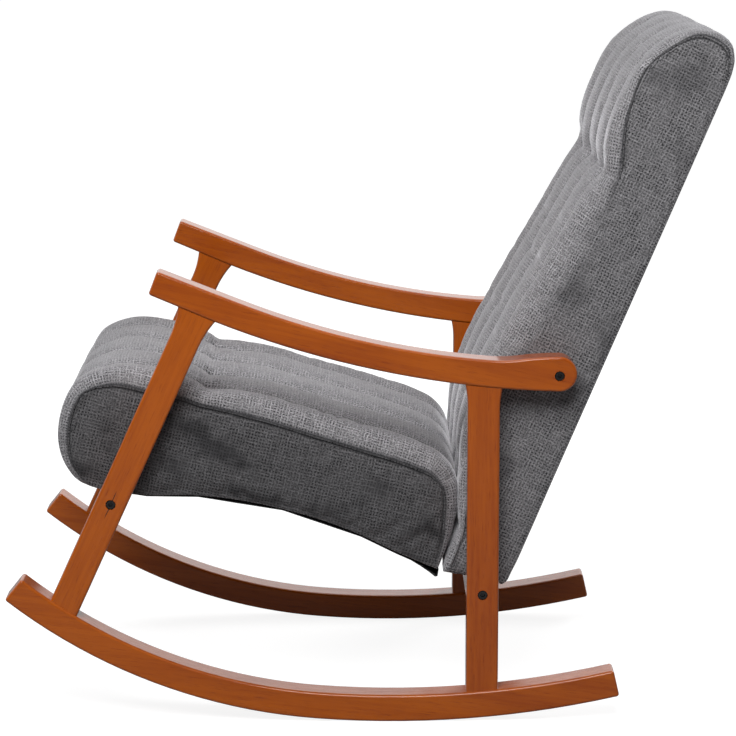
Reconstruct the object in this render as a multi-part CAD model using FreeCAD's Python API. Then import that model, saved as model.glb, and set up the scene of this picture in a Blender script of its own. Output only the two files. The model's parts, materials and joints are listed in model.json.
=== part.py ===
import FreeCAD, Part
import math
import os
from FreeCAD import Vector

# Rocking chair: two wooden side frames on curved runners, with a padded seat and high back between them.
# +Z is up, the chair faces -Y and +X is on the sitter's left. The origin is on the floor under the middle
# of the chair. Side view points are (y, z) pairs, with y counted from the balance point, where the runners
# touch the floor.

# Driving dimensions, in millimetres and degrees
balance_y = 38.25

# Widths along X
inner_width = 510.0
arm_thick = 42.0
leg_thick = 38.0
runner_thick = 44.0
seat_side_gap = 8.0
back_side_gap = 0.6

# Runners
rear_radius = 1396.0
front_radius = 789.0
radius_change_y = -109.0
runner_depth = 38.0
runner_front_y = -542.0
runner_rear_y = 316.0

# Legs
front_leg_lean = 24.56
front_leg_width = 42.0
front_flare_height = 42.0
front_flare_out = 6.5
rear_leg_width = 44.5
rear_leg_y = 123.3
rear_flare_height = 30.0
rear_flare_out = 3.6
flare_overrun = 22.0

# Armrests
arm_tip = (-336.5, 605.3)
arm_bend_start = (-246.4, 567.3)
arm_tip_lean = 20.8
arm_depth = 35.8
arm_end_radius = 24.3
arm_end_rise = 2.3
arm_tip_thinning = 1.6
arm_front_taper = 0.93
arm_bend_rise = 21.3
arm_top_bend = 13.2
arm_top_start_y = -211.0
arm_swell_y = 134.0
arm_swell_depth = 38.4
swell_turn = 0.46
swell_rise = 0.36
edge_round = 4.0
cut_margin = 10.0
straight_rise = 0.02

# Fastenings
front_bolt = (-392.5, 311.2)
rear_bolt = (rear_leg_y, 181.6)
arm_bolt = (227.0, 491.7)
bolt_diameter = 8.0
bolt_reach = 84.0
head_diameter = 13.0
head_height = 8.0
head_depth = 1.5
head_chamfer = 0.6
socket_width = 6.0
socket_depth = 4.0
recess_diameter = 14.0
washer_thick = 1.6
washer_diameter = 13.4
bolt_play = 0.3
hole_spare = 6.0
fit_gap = 0.1
nut_diameter = 12.0
nut_length = 30.0
nut_inset = 35.0
insert_diameter = 12.0
insert_length = 18.0
dowel_diameter = 10.0
dowel_length = 42.0
dowel_spacing = 20.0
dowel_in_leg = 24.0
rail_dowel_diameter = 8.0
rail_dowel_length = 38.0
rail_dowel_in_leg = 18.0
rail_dowel_drop = 13.0
screw_diameter = 5.0
screw_head_diameter = 10.0
screw_head_height = 3.0
screw_length = 60.0

# Cross rails between the legs
cross_rail_width = 36.0
cross_rail_height = 40.0
rear_rail_size = 40.0
rear_rail_drop = 3.6
rail_edge_round = 3.0
rail_room = 1.0
room_below = 30.0

# Upholstery
skin = 2.4
soft_gap = 0.4
dust_thick = 1.2
seam_spacing = 113.0
seat_seam_depth = 7.0
back_seam_depth = 6.0
seat_crease_depth = 6.0
back_crease_depth = 7.0
seat_edge_drop = 22.0
back_edge_drop = 18.0
crown_from_side = 45.0
side_draw = 9.0
turn_under = 30.0
channel_shares = (0.18, 0.5, 0.82, 1.0)
channel_sharpness = 2.5
border_bend = (0.45, 0.2)
edge_bend = ((0.45, 0.16), (0.75, 0.45), (0.93, 0.8))
crease_between_seams = 0.25
draw_share = 0.25
underside_points = slice(14, 21)
rear_high_point = 16
rear_low_point = 18

# Seat frame
board_thick = 24.0
wrap = 8.0
front_board_height = 60.0
seat_board_height = 58.0
rear_board_thick = 26.0
rear_board_y = 26.0
rear_board_low = 200.0
rear_board_high = 283.0
block_leg = 40.0
block_height = 30.0
spring_count = 5
spring_spacing = 76.0
spring_runs = 20
spring_straight = 24.0
spring_wire = 3.6
clip_width = 16.0
clip_length = 14.0
clip_strip = 1.4
rear_block_z = 246.0
front_block_lift = 12.0
side_board_gap = 2.0
pocket_depth = 11.0
cavity_below = 60.0
board_lift = 6.4
fixing_screw_x = 150.0
screw_shares = (0.3, 0.7)
spring_back_set = 2.0
clip_foot = 4.0
foam_overlap = 1.0
dust_inset = 5.0

# Back frame
post_low_width = 48.0
post_mid_width = 72.0
post_top_width = 42.0
rear_cover_space = 9.0
post_mid_z = 492.0
post_top_z = 908.0
rear_board_sheet = 3.0
back_rail_thick = 24.0
back_rail_height = 52.0
bottom_rail_y = 112.0
bottom_rail_low = 206.0
middle_rail_z = 640.0
strap_count = 6
strap_width = 50.0
strap_thick = 2.0
strap_first_z = 330.0
strap_last_z = 800.0
panel_border = 12.0
joining_bolt_x = 120.0
joining_bolt_z = 240.0
nut_height = 6.5
nut_across = 13.0
post_screw_offset = 13.0
panel_drop = 105.0
panel_reach = 20.0
panel_seat = 1.5
sheet_top_gap = 8.0
rail_screw_shares = (0.25, 0.75)
washer_extra = 6.0
bolt_end_spare = 3.0
bottom_screw_set = 4.0

half_inner = inner_width / 2
frame_centre = half_inner + arm_thick / 2
leg_inner = frame_centre - leg_thick / 2
leg_outer = frame_centre + leg_thick / 2
arm_outer = half_inner + arm_thick
runner_inner = frame_centre - runner_thick / 2
seat_half = half_inner - seat_side_gap
back_half = half_inner - back_side_gap
seat_frame_half = seat_half - skin - wrap
back_frame_half = back_half - skin - wrap
lean = math.radians(front_leg_lean)
leg_up = (math.sin(lean), math.cos(lean))
leg_across = (math.cos(lean), -math.sin(lean))

# Outline of the seat's crown in side view: y, z and the shares of seam depth, edge drop and crease depth.
# It starts at the top rear corner and runs forward over the top, round the nose and back underneath.
seat_outline = [
    (90.0, 345.0, 0.3, 0.8, 0.0), (66.0, 366.0, 0.8, 1.0, 0.0), (38.0, 380.0, 1.0, 1.0, 0.0),
    (-41.0, 406.0, 1.0, 1.1, 0.0), (-124.0, 431.0, 1.0, 1.1, 0.0), (-200.0, 451.0, 1.0, 1.1, 0.1),
    (-263.0, 464.0, 1.0, 1.0, 1.0), (-331.0, 486.0, 1.0, 0.9, 0.0), (-399.0, 492.0, 1.0, 0.9, 0.0),
    (-444.0, 472.0, 1.0, 0.8, 0.0), (-466.0, 430.0, 1.0, 0.7, 0.0), (-470.0, 392.0, 0.8, 0.7, 0.0),
    (-458.0, 352.0, 0.4, 0.6, 0.0), (-441.0, 334.0, 0.0, 0.4, 0.0), (-417.0, 324.0, 0.0, 0.0, 0.0),
    (-346.0, 314.0, 0.0, 0.0, 0.0), (-274.0, 313.0, 0.0, 0.0, 0.0), (-156.0, 293.5, 0.0, 0.0, 0.0),
    (-46.0, 256.0, 0.0, 0.0, 0.0), (5.0, 232.0, 0.0, 0.0, 0.0), (62.0, 211.0, 0.0, 0.0, 0.0),
    (84.0, 264.0, 0.0, 0.3, 0.0),
]

# Outline of the back's crown, from the bottom front corner up the front and down the rear.
back_outline = [
    (69.0, 206.0, 0.0, 0.2, 0.0), (86.5, 264.0, 0.0, 0.3, 0.0), (92.0, 345.0, 0.3, 0.8, 0.0),
    (97.0, 397.0, 0.8, 1.0, 0.0), (117.0, 462.0, 1.0, 1.0, 0.0), (162.0, 553.0, 1.0, 1.0, 0.0),
    (212.0, 641.0, 1.0, 1.0, 0.0), (250.0, 708.0, 1.0, 1.0, 0.1), (283.0, 770.0, 1.0, 0.9, 1.0),
    (291.0, 815.0, 1.0, 1.0, 0.1), (308.0, 860.0, 1.0, 1.0, 0.0), (336.0, 914.0, 1.0, 0.7, 0.0),
    (376.0, 949.0, 1.0, 0.5, 0.0), (414.0, 965.0, 0.8, 0.4, 0.0), (445.0, 956.0, 0.4, 0.5, 0.0),
    (462.5, 932.0, 0.0, 0.4, 0.0), (459.0, 904.0, 0.0, 0.2, 0.0), (335.0, 613.5, 0.0, 0.1, 0.0),
    (211.0, 323.0, 0.0, 0.1, 0.0), (185.0, 259.0, 0.0, 0.1, 0.0), (161.0, 198.0, 0.0, 0.1, 0.0),
    (110.0, 196.0, 0.0, 0.0, 0.0),
]


def point(side, x=0.0):
    """A place in space for a side view pair."""
    return Vector(x, side[0] + balance_y, side[1])


def shifted(start, direction, distance):
    """The side view pair that lies a distance along a direction."""
    return (start[0] + direction[0] * distance, start[1] + direction[1] * distance)


def on_leg(along, across):
    """A side view pair counted from the front bolt, up the leg and across it."""
    return shifted(shifted(front_bolt, leg_up, along), leg_across, across)


def line(start, end, x):
    return Part.LineSegment(point(start, x), point(end, x)).toShape()


def arc(start, middle, end, x):
    """An arc through three side view pairs, or a line where they lie straight."""
    a = point(start, x)
    b = point(middle, x)
    c = point(end, x)
    height = (b - a).cross(c - a).Length / (c - a).Length
    if height < straight_rise:
        return Part.LineSegment(a, c).toShape()
    return Part.Arc(a, b, c).toShape()


def rise_middle(start, end, rise):
    """The middle of an arc that stands off its chord by a rise, to the left of start to end."""
    across = (end[0] - start[0], end[1] - start[1])
    length = math.hypot(across[0], across[1])
    normal = (-across[1] / length, across[0] / length)
    centre = ((start[0] + end[0]) / 2, (start[1] + end[1]) / 2)
    return shifted(centre, normal, rise)


def leaving_middle(start, direction, end):
    """The middle of the arc that leaves start along a direction and reaches end."""
    chord = (end[0] - start[0], end[1] - start[1])
    length = math.hypot(chord[0], chord[1])
    turn = math.atan2(direction[1], direction[0]) - math.atan2(chord[1], chord[0])
    turn = math.atan2(math.sin(turn), math.cos(turn))
    return rise_middle(start, end, length / 2 * math.tan(turn / 2))


def slab(edges, thickness):
    """A board: a closed side view outline with a thickness along X."""
    return Part.Face(Part.Wire(edges)).extrude(Vector(thickness, 0, 0))


def polygon(pairs, x, thickness):
    corners = [point(pair, x) for pair in pairs]
    return Part.Face(Part.makePolygon(corners + corners[:1])).extrude(Vector(thickness, 0, 0))


def rounded(board, radius, with_ends=True):
    """Round the long edges of a board, and the edges across its ends where they are asked for."""
    chosen = []
    for edge in board.Edges:
        runs_across = abs(edge.Vertexes[0].X - edge.Vertexes[-1].X) > radius
        if with_ends or not runs_across:
            chosen.append(edge)
    return board.makeFillet(radius, chosen)


def rod(start, direction, diameter, length):
    return Part.makeCylinder(diameter / 2, length, start, direction)


def box(x, y, z):
    """A block between two X, two Y and two Z values, with Y counted from the balance point."""
    corner = Vector(x[0], y[0] + balance_y, z[0])
    return Part.makeBox(x[1] - x[0], y[1] - y[0], z[1] - z[0], corner)


def mirrored(shape):
    return shape.mirror(Vector(0, 0, 0), Vector(1, 0, 0))


def both_sides(shapes):
    return shapes + [mirrored(shape) for shape in shapes]


def largest(shape):
    return max(shape.Solids, key=lambda solid: solid.Volume)


def write(name, shapes):
    """Save a node, made of one solid or of several separate ones."""
    solids = []
    for shape in shapes:
        solids.extend(shape.Solids)
    result = solids[0] if len(solids) == 1 else Part.makeCompound(solids)
    if not result.isValid():
        print("not valid:", name)
    result.exportStep("parts/" + name + ".step")
    size = result.optimalBoundingBox(False)
    print("%-22s solids %2d volume %.1f cm3 y %.1f to %.1f z %.1f to %.1f" % (
        name, len(solids), result.Volume / 1000, size.YMin, size.YMax, size.ZMin, size.ZMax))
    return result


# Runners

def runner_arcs():
    """Centres of the front and the rear arc of a runner's underside, which meet without a corner."""
    rear_centre = (0.0, rear_radius)
    meeting_z = rear_radius - math.sqrt(rear_radius ** 2 - radius_change_y ** 2)
    meeting = (radius_change_y, meeting_z)
    share = front_radius / rear_radius
    front_centre = (meeting[0] - meeting[0] * share, meeting_z + (rear_radius - meeting_z) * share)
    return front_centre, rear_centre


def runner_outline(x, depth):
    """A runner's side outline: two tangent arcs below, the same two less the depth above, and square ends."""
    front_centre, rear_centre = runner_arcs()
    front_angle = math.asin((runner_front_y - front_centre[0]) / front_radius)
    change_angle = math.asin(radius_change_y / rear_radius)
    rear_angle = math.asin(runner_rear_y / rear_radius)

    def on(centre, radius, angle):
        return (centre[0] + radius * math.sin(angle), centre[1] - radius * math.cos(angle))

    def span(centre, radius, first, last):
        middle = (first + last) / 2
        return arc(on(centre, radius, first), on(centre, radius, middle), on(centre, radius, last), x)

    low_front = on(front_centre, front_radius, front_angle)
    high_front = on(front_centre, front_radius - depth, front_angle)
    low_rear = on(rear_centre, rear_radius, rear_angle)
    high_rear = on(rear_centre, rear_radius - depth, rear_angle)
    return [
        span(front_centre, front_radius, front_angle, change_angle),
        span(rear_centre, rear_radius, change_angle, rear_angle),
        line(low_rear, high_rear, x),
        span(rear_centre, rear_radius - depth, rear_angle, change_angle),
        span(front_centre, front_radius - depth, change_angle, front_angle),
        line(high_front, low_front, x),
    ]


runner_raw = rounded(slab(runner_outline(runner_inner, runner_depth), runner_thick), edge_round)
runner_cutter = slab(runner_outline(runner_inner - cut_margin, runner_depth), runner_thick + 2 * cut_margin)


# Armrests

def arm_outline(x):
    """An armrest's side outline: a sloping front, one long hollow bend, and a round swollen end."""
    tip_lean = math.radians(arm_tip_lean)
    tip_top = shifted(arm_tip, (math.sin(tip_lean), math.cos(tip_lean)), arm_depth - arm_tip_thinning)
    front_slope = (arm_bend_start[1] - arm_tip[1]) / (arm_bend_start[0] - arm_tip[0])
    end_centre = (arm_bolt[0], arm_bolt[1] + arm_end_rise)
    end_low = (end_centre[0], end_centre[1] - arm_end_radius)
    end_high = (end_centre[0], end_centre[1] + arm_end_radius)
    end_far = (end_centre[0] + arm_end_radius, end_centre[1])
    corner = math.sqrt(0.5) * arm_end_radius
    top_slope = front_slope * arm_front_taper
    top_start = (arm_top_start_y, tip_top[1] + (arm_top_start_y - tip_top[0]) * top_slope)
    swell_share = (arm_swell_y - arm_bend_start[0]) / (end_low[0] - arm_bend_start[0])
    chord_z = arm_bend_start[1] + (end_low[1] - arm_bend_start[1]) * swell_share
    low_there = chord_z - 4 * arm_bend_rise * swell_share * (1 - swell_share)
    swell = (arm_swell_y, low_there + arm_swell_depth)
    top_middle = rise_middle(top_start, swell, -arm_top_bend)
    top_run = (swell[0] - top_start[0], swell[1] - top_start[1])
    bend_angle = 2 * math.atan(2 * arm_top_bend / math.hypot(top_run[0], top_run[1]))
    leaving = math.atan(top_run[1] / top_run[0]) + bend_angle
    turn_y = swell[0] + (end_high[0] - swell[0]) * swell_turn
    turn = (turn_y, swell[1] + (end_high[1] - swell[1]) * swell_rise)
    return [
        line(arm_tip, arm_bend_start, x),
        arc(arm_bend_start, rise_middle(arm_bend_start, end_low, -arm_bend_rise), end_low, x),
        arc(end_low, (end_centre[0] + corner, end_centre[1] - corner), end_far, x),
        arc(end_far, (end_centre[0] + corner, end_centre[1] + corner), end_high, x),
        arc(end_high, leaving_middle(end_high, (-1, 0), turn), turn, x),
        arc(turn, leaving_middle(swell, (math.cos(leaving), math.sin(leaving)), turn), swell, x),
        arc(swell, top_middle, top_start, x),
        line(top_start, tip_top, x),
        line(tip_top, arm_tip, x),
    ]


arm_raw = rounded(slab(arm_outline(half_inner), arm_thick), edge_round)
arm_cutter = slab(arm_outline(half_inner - cut_margin), arm_thick + 2 * cut_margin)


# Legs

def leg_outline(centre, up, across, width, top_left, top_right, flare, out, low):
    """A straight leg that flares out on both sides under the armrest, with room to trim both ends."""
    x = leg_inner
    half = width / 2
    back = (-across[0], -across[1])
    left_turn = shifted(shifted(centre, up, top_left - flare), back, half)
    right_turn = shifted(shifted(centre, up, top_right - flare), across, half)
    left_top = shifted(shifted(centre, up, top_left), back, half + out)
    right_top = shifted(shifted(centre, up, top_right), across, half + out)
    left_end = shifted(shifted(left_top, up, flare_overrun), back, out)
    right_end = shifted(shifted(right_top, up, flare_overrun), across, out)
    left_low = shifted(shifted(centre, up, low), back, half)
    right_low = shifted(shifted(centre, up, low), across, half)
    return [
        line(left_low, left_turn, x),
        arc(left_turn, leaving_middle(left_turn, up, left_top), left_top, x),
        line(left_top, left_end, x),
        line(left_end, right_end, x),
        line(right_end, right_top, x),
        arc(right_top, leaving_middle(right_turn, up, right_top), right_turn, x),
        line(right_turn, right_low, x),
        line(right_low, left_low, x),
    ]


probe_reach = 2 * (arm_tip[1] - front_bolt[1])


def underarm(y):
    """Height of the armrest's underside above a side view y."""
    probe = line((y, front_bolt[1]), (y, front_bolt[1] + probe_reach), frame_centre)
    return min(vertex.Z for vertex in arm_cutter.common(probe).Vertexes)


def runner_top(y):
    """Height of the runner's upper side above a side view y."""
    probe = line((y, -runner_depth), (y, front_bolt[1]), frame_centre)
    return max(vertex.Z for vertex in runner_cutter.common(probe).Vertexes)


def along_leg_to_arm(across):
    """How far up the front leg the armrest's underside lies, for a line at an offset across the leg."""
    start = on_leg(0.0, across)
    probe = line(start, shifted(start, leg_up, probe_reach), frame_centre)
    crossed = arm_cutter.common(probe).Vertexes
    return min(point(start, frame_centre).distanceToPoint(vertex.Point) for vertex in crossed)


def along_leg_to_runner(across):
    """How far down the front leg the runner's upper side lies."""
    start = on_leg(0.0, across)
    probe = line(start, shifted(start, leg_up, -probe_reach), frame_centre)
    crossed = runner_cutter.common(probe).Vertexes
    return min(point(start, frame_centre).distanceToPoint(vertex.Point) for vertex in crossed)


front_half = front_leg_width / 2
front_reach_left = along_leg_to_arm(-front_half - front_flare_out)
front_reach_right = along_leg_to_arm(front_half + front_flare_out)
front_low = -along_leg_to_runner(0.0) - runner_depth / 2
front_leg_raw = slab(leg_outline(
    front_bolt, leg_up, leg_across, front_leg_width, front_reach_left, front_reach_right,
    front_flare_height, front_flare_out, front_low), leg_thick)
rear_foot = (rear_leg_y, runner_top(rear_leg_y) - runner_depth / 2)
rear_half = rear_leg_width / 2
rear_reach_left = underarm(rear_leg_y - rear_half - rear_flare_out) - rear_foot[1]
rear_reach_right = underarm(rear_leg_y + rear_half + rear_flare_out) - rear_foot[1]
rear_leg_raw = slab(leg_outline(
    rear_foot, (0.0, 1.0), (1.0, 0.0), rear_leg_width, rear_reach_left, rear_reach_right,
    rear_flare_height, rear_flare_out, 0.0), leg_thick)


def trimmed_leg(raw):
    """Round a leg's long edges and cut its ends to sit on the runner and under the armrest."""
    soft = rounded(raw, edge_round, False)
    return largest(soft.cut(arm_cutter).cut(runner_cutter))


# Dowels that join the legs to the runner and the armrest

def leg_dowels(diameter):
    """The dowels of one side frame, at a diameter that is larger for their holes."""
    rods = []
    for share in (-0.5, 0.5):
        offset = share * dowel_spacing
        high = on_leg(along_leg_to_arm(offset) - dowel_in_leg, offset)
        rods.append(rod(point(high, frame_centre), Vector(0, leg_up[0], leg_up[1]), diameter, dowel_length))
        low = on_leg(dowel_in_leg - along_leg_to_runner(offset), offset)
        rods.append(rod(point(low, frame_centre), Vector(0, -leg_up[0], -leg_up[1]), diameter, dowel_length))
        y = rear_leg_y + offset
        high = (y, underarm(y) - dowel_in_leg)
        rods.append(rod(point(high, frame_centre), Vector(0, 0, 1), diameter, dowel_length))
        low = (y, runner_top(y) + dowel_in_leg)
        rods.append(rod(point(low, frame_centre), Vector(0, 0, -1), diameter, dowel_length))
    return rods


# Bolts that go in from the outer faces

def hexagon(centre, across_flats, first):
    """Closed corners of an upright hexagon, the first one along a level direction."""
    reach = across_flats / math.sqrt(3)
    corners = []
    for k in range(7):
        turn = math.radians(60 * k)
        corners.append(centre + first * (reach * math.cos(turn)) + Vector(0, 0, reach * math.sin(turn)))
    return corners


def bolt(side, face_x):
    """A socket head bolt whose head sits a little below an outer face at +X."""
    head_top = face_x - head_depth
    under = head_top - head_height
    inward = Vector(-1, 0, 0)
    head = rod(point(side, head_top), inward, head_diameter, head_height)
    rim = [edge for edge in head.Edges if abs(edge.CenterOfMass.x - head_top) < fit_gap]
    head = head.makeChamfer(head_chamfer, rim)
    shank = rod(point(side, under), inward, bolt_diameter, bolt_reach - head_height)
    corners = hexagon(point(side, head_top), socket_width, Vector(0, 1, 0))
    socket = Part.Face(Part.makePolygon(corners)).extrude(Vector(-socket_depth, 0, 0))
    return head.fuse(shank).removeSplitter().cut(socket)


def bolt_washer(side, face_x):
    under = face_x - head_depth - head_height
    ring = rod(point(side, under), Vector(-1, 0, 0), washer_diameter, washer_thick)
    hole = rod(point(side, under + cut_margin), Vector(-1, 0, 0), bolt_diameter + bolt_play, 3 * cut_margin)
    return ring.cut(hole)


def bolt_hole(side, face_x):
    """The recess for a head and its washer, and the hole for the shank, right through."""
    inward = Vector(-1, 0, 0)
    start = point(side, face_x + cut_margin)
    recess = rod(start, inward, recess_diameter, cut_margin + head_depth + head_height + washer_thick)
    shank = rod(start, inward, bolt_diameter + bolt_play, cut_margin + bolt_reach + hole_spare)
    return recess.fuse(shank)


front_hole = bolt_hole(front_bolt, leg_outer)
rear_hole = bolt_hole(rear_bolt, leg_outer)
arm_hole = bolt_hole(arm_bolt, arm_outer)


# Cross rails

def rotated_bar(along, across, x_half):
    """A bar whose section lies square to the front leg, between two along and two across values."""
    corners = [on_leg(along[0], across[0]), on_leg(along[0], across[1]),
               on_leg(along[1], across[1]), on_leg(along[1], across[0])]
    return polygon(corners, -x_half, 2 * x_half)


cross_high = cross_rail_height / 2
cross_wide = cross_rail_width / 2
front_rail = rotated_bar((-cross_high, cross_high), (-cross_wide, cross_wide), leg_inner)
front_rail = front_rail.makeFillet(rail_edge_round, [e for e in front_rail.Edges if e.Length > leg_inner])
front_room = rotated_bar((-cross_high - room_below, cross_high + rail_room),
                         (-cross_wide - rail_room, cross_wide + rail_room), leg_inner + cut_margin)
rear_rail_centre = (rear_bolt[0], rear_bolt[1] - rear_rail_drop)
rear_rail_low = rear_rail_centre[1] - rear_rail_size / 2
rear_rail_high = rear_rail_centre[1] + rear_rail_size / 2
rear_rail_front = rear_rail_centre[0] - rear_rail_size / 2
rear_rail_back = rear_rail_centre[0] + rear_rail_size / 2
rear_rail = box((-leg_inner, leg_inner), (rear_rail_front, rear_rail_back), (rear_rail_low, rear_rail_high))
rear_rail = rear_rail.makeFillet(rail_edge_round, [e for e in rear_rail.Edges if e.Length > leg_inner])
rear_room = box((-leg_inner - cut_margin, leg_inner + cut_margin),
                (rear_rail_front - rail_room, rear_rail_back + rail_room),
                (rear_rail_low - room_below, rear_rail_high + rail_room))


def barrel_nut(side, up, diameter, hole):
    """A round nut that lies across a bolt in the end of a rail."""
    start = point(shifted(side, up, -nut_length / 2), leg_inner - nut_inset)
    body = rod(start, Vector(0, up[0], up[1]), diameter, nut_length)
    if hole:
        thread = rod(point(side, leg_inner), Vector(-1, 0, 0), bolt_diameter + 2 * fit_gap, 2 * nut_inset)
        body = body.cut(thread)
    return body


def rail_dowel(side, up, diameter):
    start = point(shifted(side, up, -rail_dowel_drop), leg_inner + rail_dowel_in_leg)
    return rod(start, Vector(-1, 0, 0), diameter, rail_dowel_length)


upright = (0.0, 1.0)
rail_ends = [(front_bolt, leg_up), (rear_bolt, upright)]
rail_hole_diameter = rail_dowel_diameter + 2 * fit_gap
nuts = both_sides([barrel_nut(side, up, nut_diameter, True) for side, up in rail_ends])
nut_holes = both_sides([barrel_nut(side, up, nut_diameter + 2 * fit_gap, False) for side, up in rail_ends])
rail_dowels = both_sides([rail_dowel(side, up, rail_dowel_diameter) for side, up in rail_ends])
rail_holes = [rail_dowel(side, up, rail_hole_diameter) for side, up in rail_ends]


def screw(start, direction, length, play=0.0):
    """A screw with a flat round head, or with play, the hole that takes it."""
    head = rod(start, direction, screw_head_diameter + 2 * play, screw_head_height)
    return head.fuse(rod(start, direction, screw_diameter + 2 * play, length)).removeSplitter()


def cut_all(shape, tools):
    return shape.cut(Part.makeCompound(tools))


# Upholstered forms

def channel_stations(half, seam_depth, edge_drop):
    """Places across the width, each with how deep it lies in a seam and how far the edge has dropped."""
    stations = []
    for channel in (0, 1):
        for share in channel_shares:
            place = (channel - 0.5 + share) * seam_spacing
            if place >= 0:
                stations.append((place, seam_depth * abs(2 * share - 1) ** channel_sharpness, 0.0))
    outer_seam = 1.5 * seam_spacing
    crown = half - crown_from_side
    stations.append((outer_seam + border_bend[0] * (crown - outer_seam), seam_depth * border_bend[1], 0.0))
    stations.append((crown, 0.0, 0.0))
    for share, drop in edge_bend:
        stations.append((crown + share * crown_from_side, 0.0, edge_drop * drop))
    stations.append((half, 0.0, edge_drop + side_draw))
    left = [(-x, seam, drop) for x, seam, drop in stations if x > 0]
    return sorted(left + stations)


def outline_normals(outline):
    """A unit direction for each point of a closed outline, pointing into it."""
    count = len(outline)
    area = sum(outline[i - 1][0] * outline[i][1] - outline[i][0] * outline[i - 1][1] for i in range(count))
    inward = 1.0 if area > 0 else -1.0
    normals = []
    for i in range(count):
        before = outline[i - 1]
        after = outline[(i + 1) % count]
        run = (after[0] - before[0], after[1] - before[1])
        length = math.hypot(run[0], run[1]) * inward
        normals.append((-run[1] / length, run[0] / length))
    return normals


def upholstered_form(outline, half, depths, inset):
    """A padded form with sewn channels: ruled from section to section across the width."""
    seam_depth, edge_drop, crease_depth = depths
    count = len(outline)
    normals = outline_normals(outline)
    sections = []
    for x, seam, drop in channel_stations(half, seam_depth, edge_drop):
        in_seam = seam / seam_depth
        pairs = []
        for (y, z, seam_share, drop_share, crease), normal in zip(outline, normals):
            depth = seam * seam_share + drop * drop_share + inset
            depth += crease_depth * crease * (crease_between_seams + (1 - crease_between_seams) * in_seam)
            if drop > edge_drop:
                depth += side_draw * draw_share * (1 - drop_share)
            pairs.append(shifted((y, z), normal, depth))
        place = x * (half - inset) / half
        starts = range(0, count, 2)
        edges = [arc(pairs[i], pairs[i + 1], pairs[(i + 2) % count], place) for i in starts]
        sections.append(Part.Wire(edges))
    return Part.makeLoft(sections, True, True)


def seat_form(inset):
    depths = (seat_seam_depth, seat_edge_drop, seat_crease_depth)
    return upholstered_form(seat_outline, seat_half, depths, inset)


def back_form(inset):
    depths = (back_seam_depth, back_edge_drop, back_crease_depth)
    return upholstered_form(back_outline, back_half, depths, inset)


seat_outer = seat_form(0.0)
seat_fill = seat_form(skin + soft_gap)
back_outer = back_form(0.0)
back_fill = back_form(skin + soft_gap)


# Seat frame

front_board_top = cross_high + front_board_height
seat_front_board = rotated_bar((cross_high, front_board_top), (-cross_wide, cross_wide), seat_frame_half)


def seat_underside(y, lift):
    """A pair on the seat's underside, lifted a little, found between the outline's own points."""
    for (y0, z0), (y1, z1) in zip(underside, underside[1:]):
        if y0 <= y <= y1:
            return (y, z0 + (z1 - z0) * (y - y0) / (y1 - y0) + lift)
    return (y, underside[-1][1] + lift)


underside = [(pair[0], pair[1]) for pair in seat_outline[underside_points]]
side_front_low = on_leg(cross_high + side_board_gap, cross_wide)
side_front_high = on_leg(front_board_top - side_board_gap, cross_wide)
rear_board_back = rear_board_y + rear_board_thick
seat_side_ys = [pair[0] for pair in underside[2:5]] + [rear_board_back]
seat_side_low = [seat_underside(y, board_lift) for y in seat_side_ys]
seat_side_high = [(pair[0], pair[1] + seat_board_height) for pair in seat_side_low]
side_board_inner = seat_frame_half - board_thick


def seat_side_board(x):
    """A seat side board: its edges follow the seat's curved underside."""
    edges = [
        line(side_front_high, side_front_low, x),
        line(side_front_low, seat_side_low[0], x),
        arc(seat_side_low[0], seat_side_low[1], seat_side_low[2], x),
        line(seat_side_low[2], seat_side_low[3], x),
        line(seat_side_low[3], seat_side_high[3], x),
        line(seat_side_high[3], seat_side_high[2], x),
        arc(seat_side_high[2], seat_side_high[1], seat_side_high[0], x),
        line(seat_side_high[0], side_front_high, x),
    ]
    return slab(edges, board_thick)


rear_board_front_low = seat_underside(rear_board_y, -pocket_depth / 2 + dust_thick)
rear_board_back_low = (rear_board_back, rear_board_front_low[1] - pocket_depth)
seat_rear_board = polygon([rear_board_front_low, rear_board_back_low, (rear_board_back, rear_board_high),
                           (rear_board_y, rear_board_high)], -side_board_inner, 2 * side_board_inner)

# Springs from the seat's front board to its rear board, each held by a clip at both ends
spring_lift = clip_strip + spring_wire / 2 + fit_gap
spring_front = on_leg(front_board_top + spring_lift, -spring_back_set)
spring_rear = (rear_board_y + rear_board_thick / 2, rear_board_high + spring_lift)
spring_length = math.hypot(spring_rear[0] - spring_front[0], spring_rear[1] - spring_front[1])
spring_along = ((spring_rear[0] - spring_front[0]) / spring_length,
                (spring_rear[1] - spring_front[1]) / spring_length)
spring_up = (-spring_along[1], spring_along[0])
spring_pitch = spring_length / (spring_runs - 1)
spring_places = [(k - (spring_count - 1) / 2) * spring_spacing for k in range(spring_count)]


def zigzag_spring():
    """A flat zigzag spring: straight runs across the seat, joined by half turns on alternate sides."""
    edges = []
    half = spring_straight / 2
    radius = spring_pitch / 2
    for k in range(spring_runs):
        run = k * spring_pitch
        side = 1 if k % 2 == 0 else -1
        here = shifted(spring_front, spring_along, run)
        edges.append(Part.LineSegment(point(here, -half * side), point(here, half * side)).toShape())
        if k < spring_runs - 1:
            middle = shifted(here, spring_along, radius)
            end = shifted(here, spring_along, spring_pitch)
            crest = point(middle, (half + radius) * side)
            edges.append(Part.Arc(point(here, half * side), crest, point(end, half * side)).toShape())
    path = Part.Wire(edges)
    circle = Part.makeCircle(spring_wire / 2, point(spring_front, -half), Vector(1, 0, 0))
    return path.makePipeShell([Part.Wire(circle)], True, False)


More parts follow.
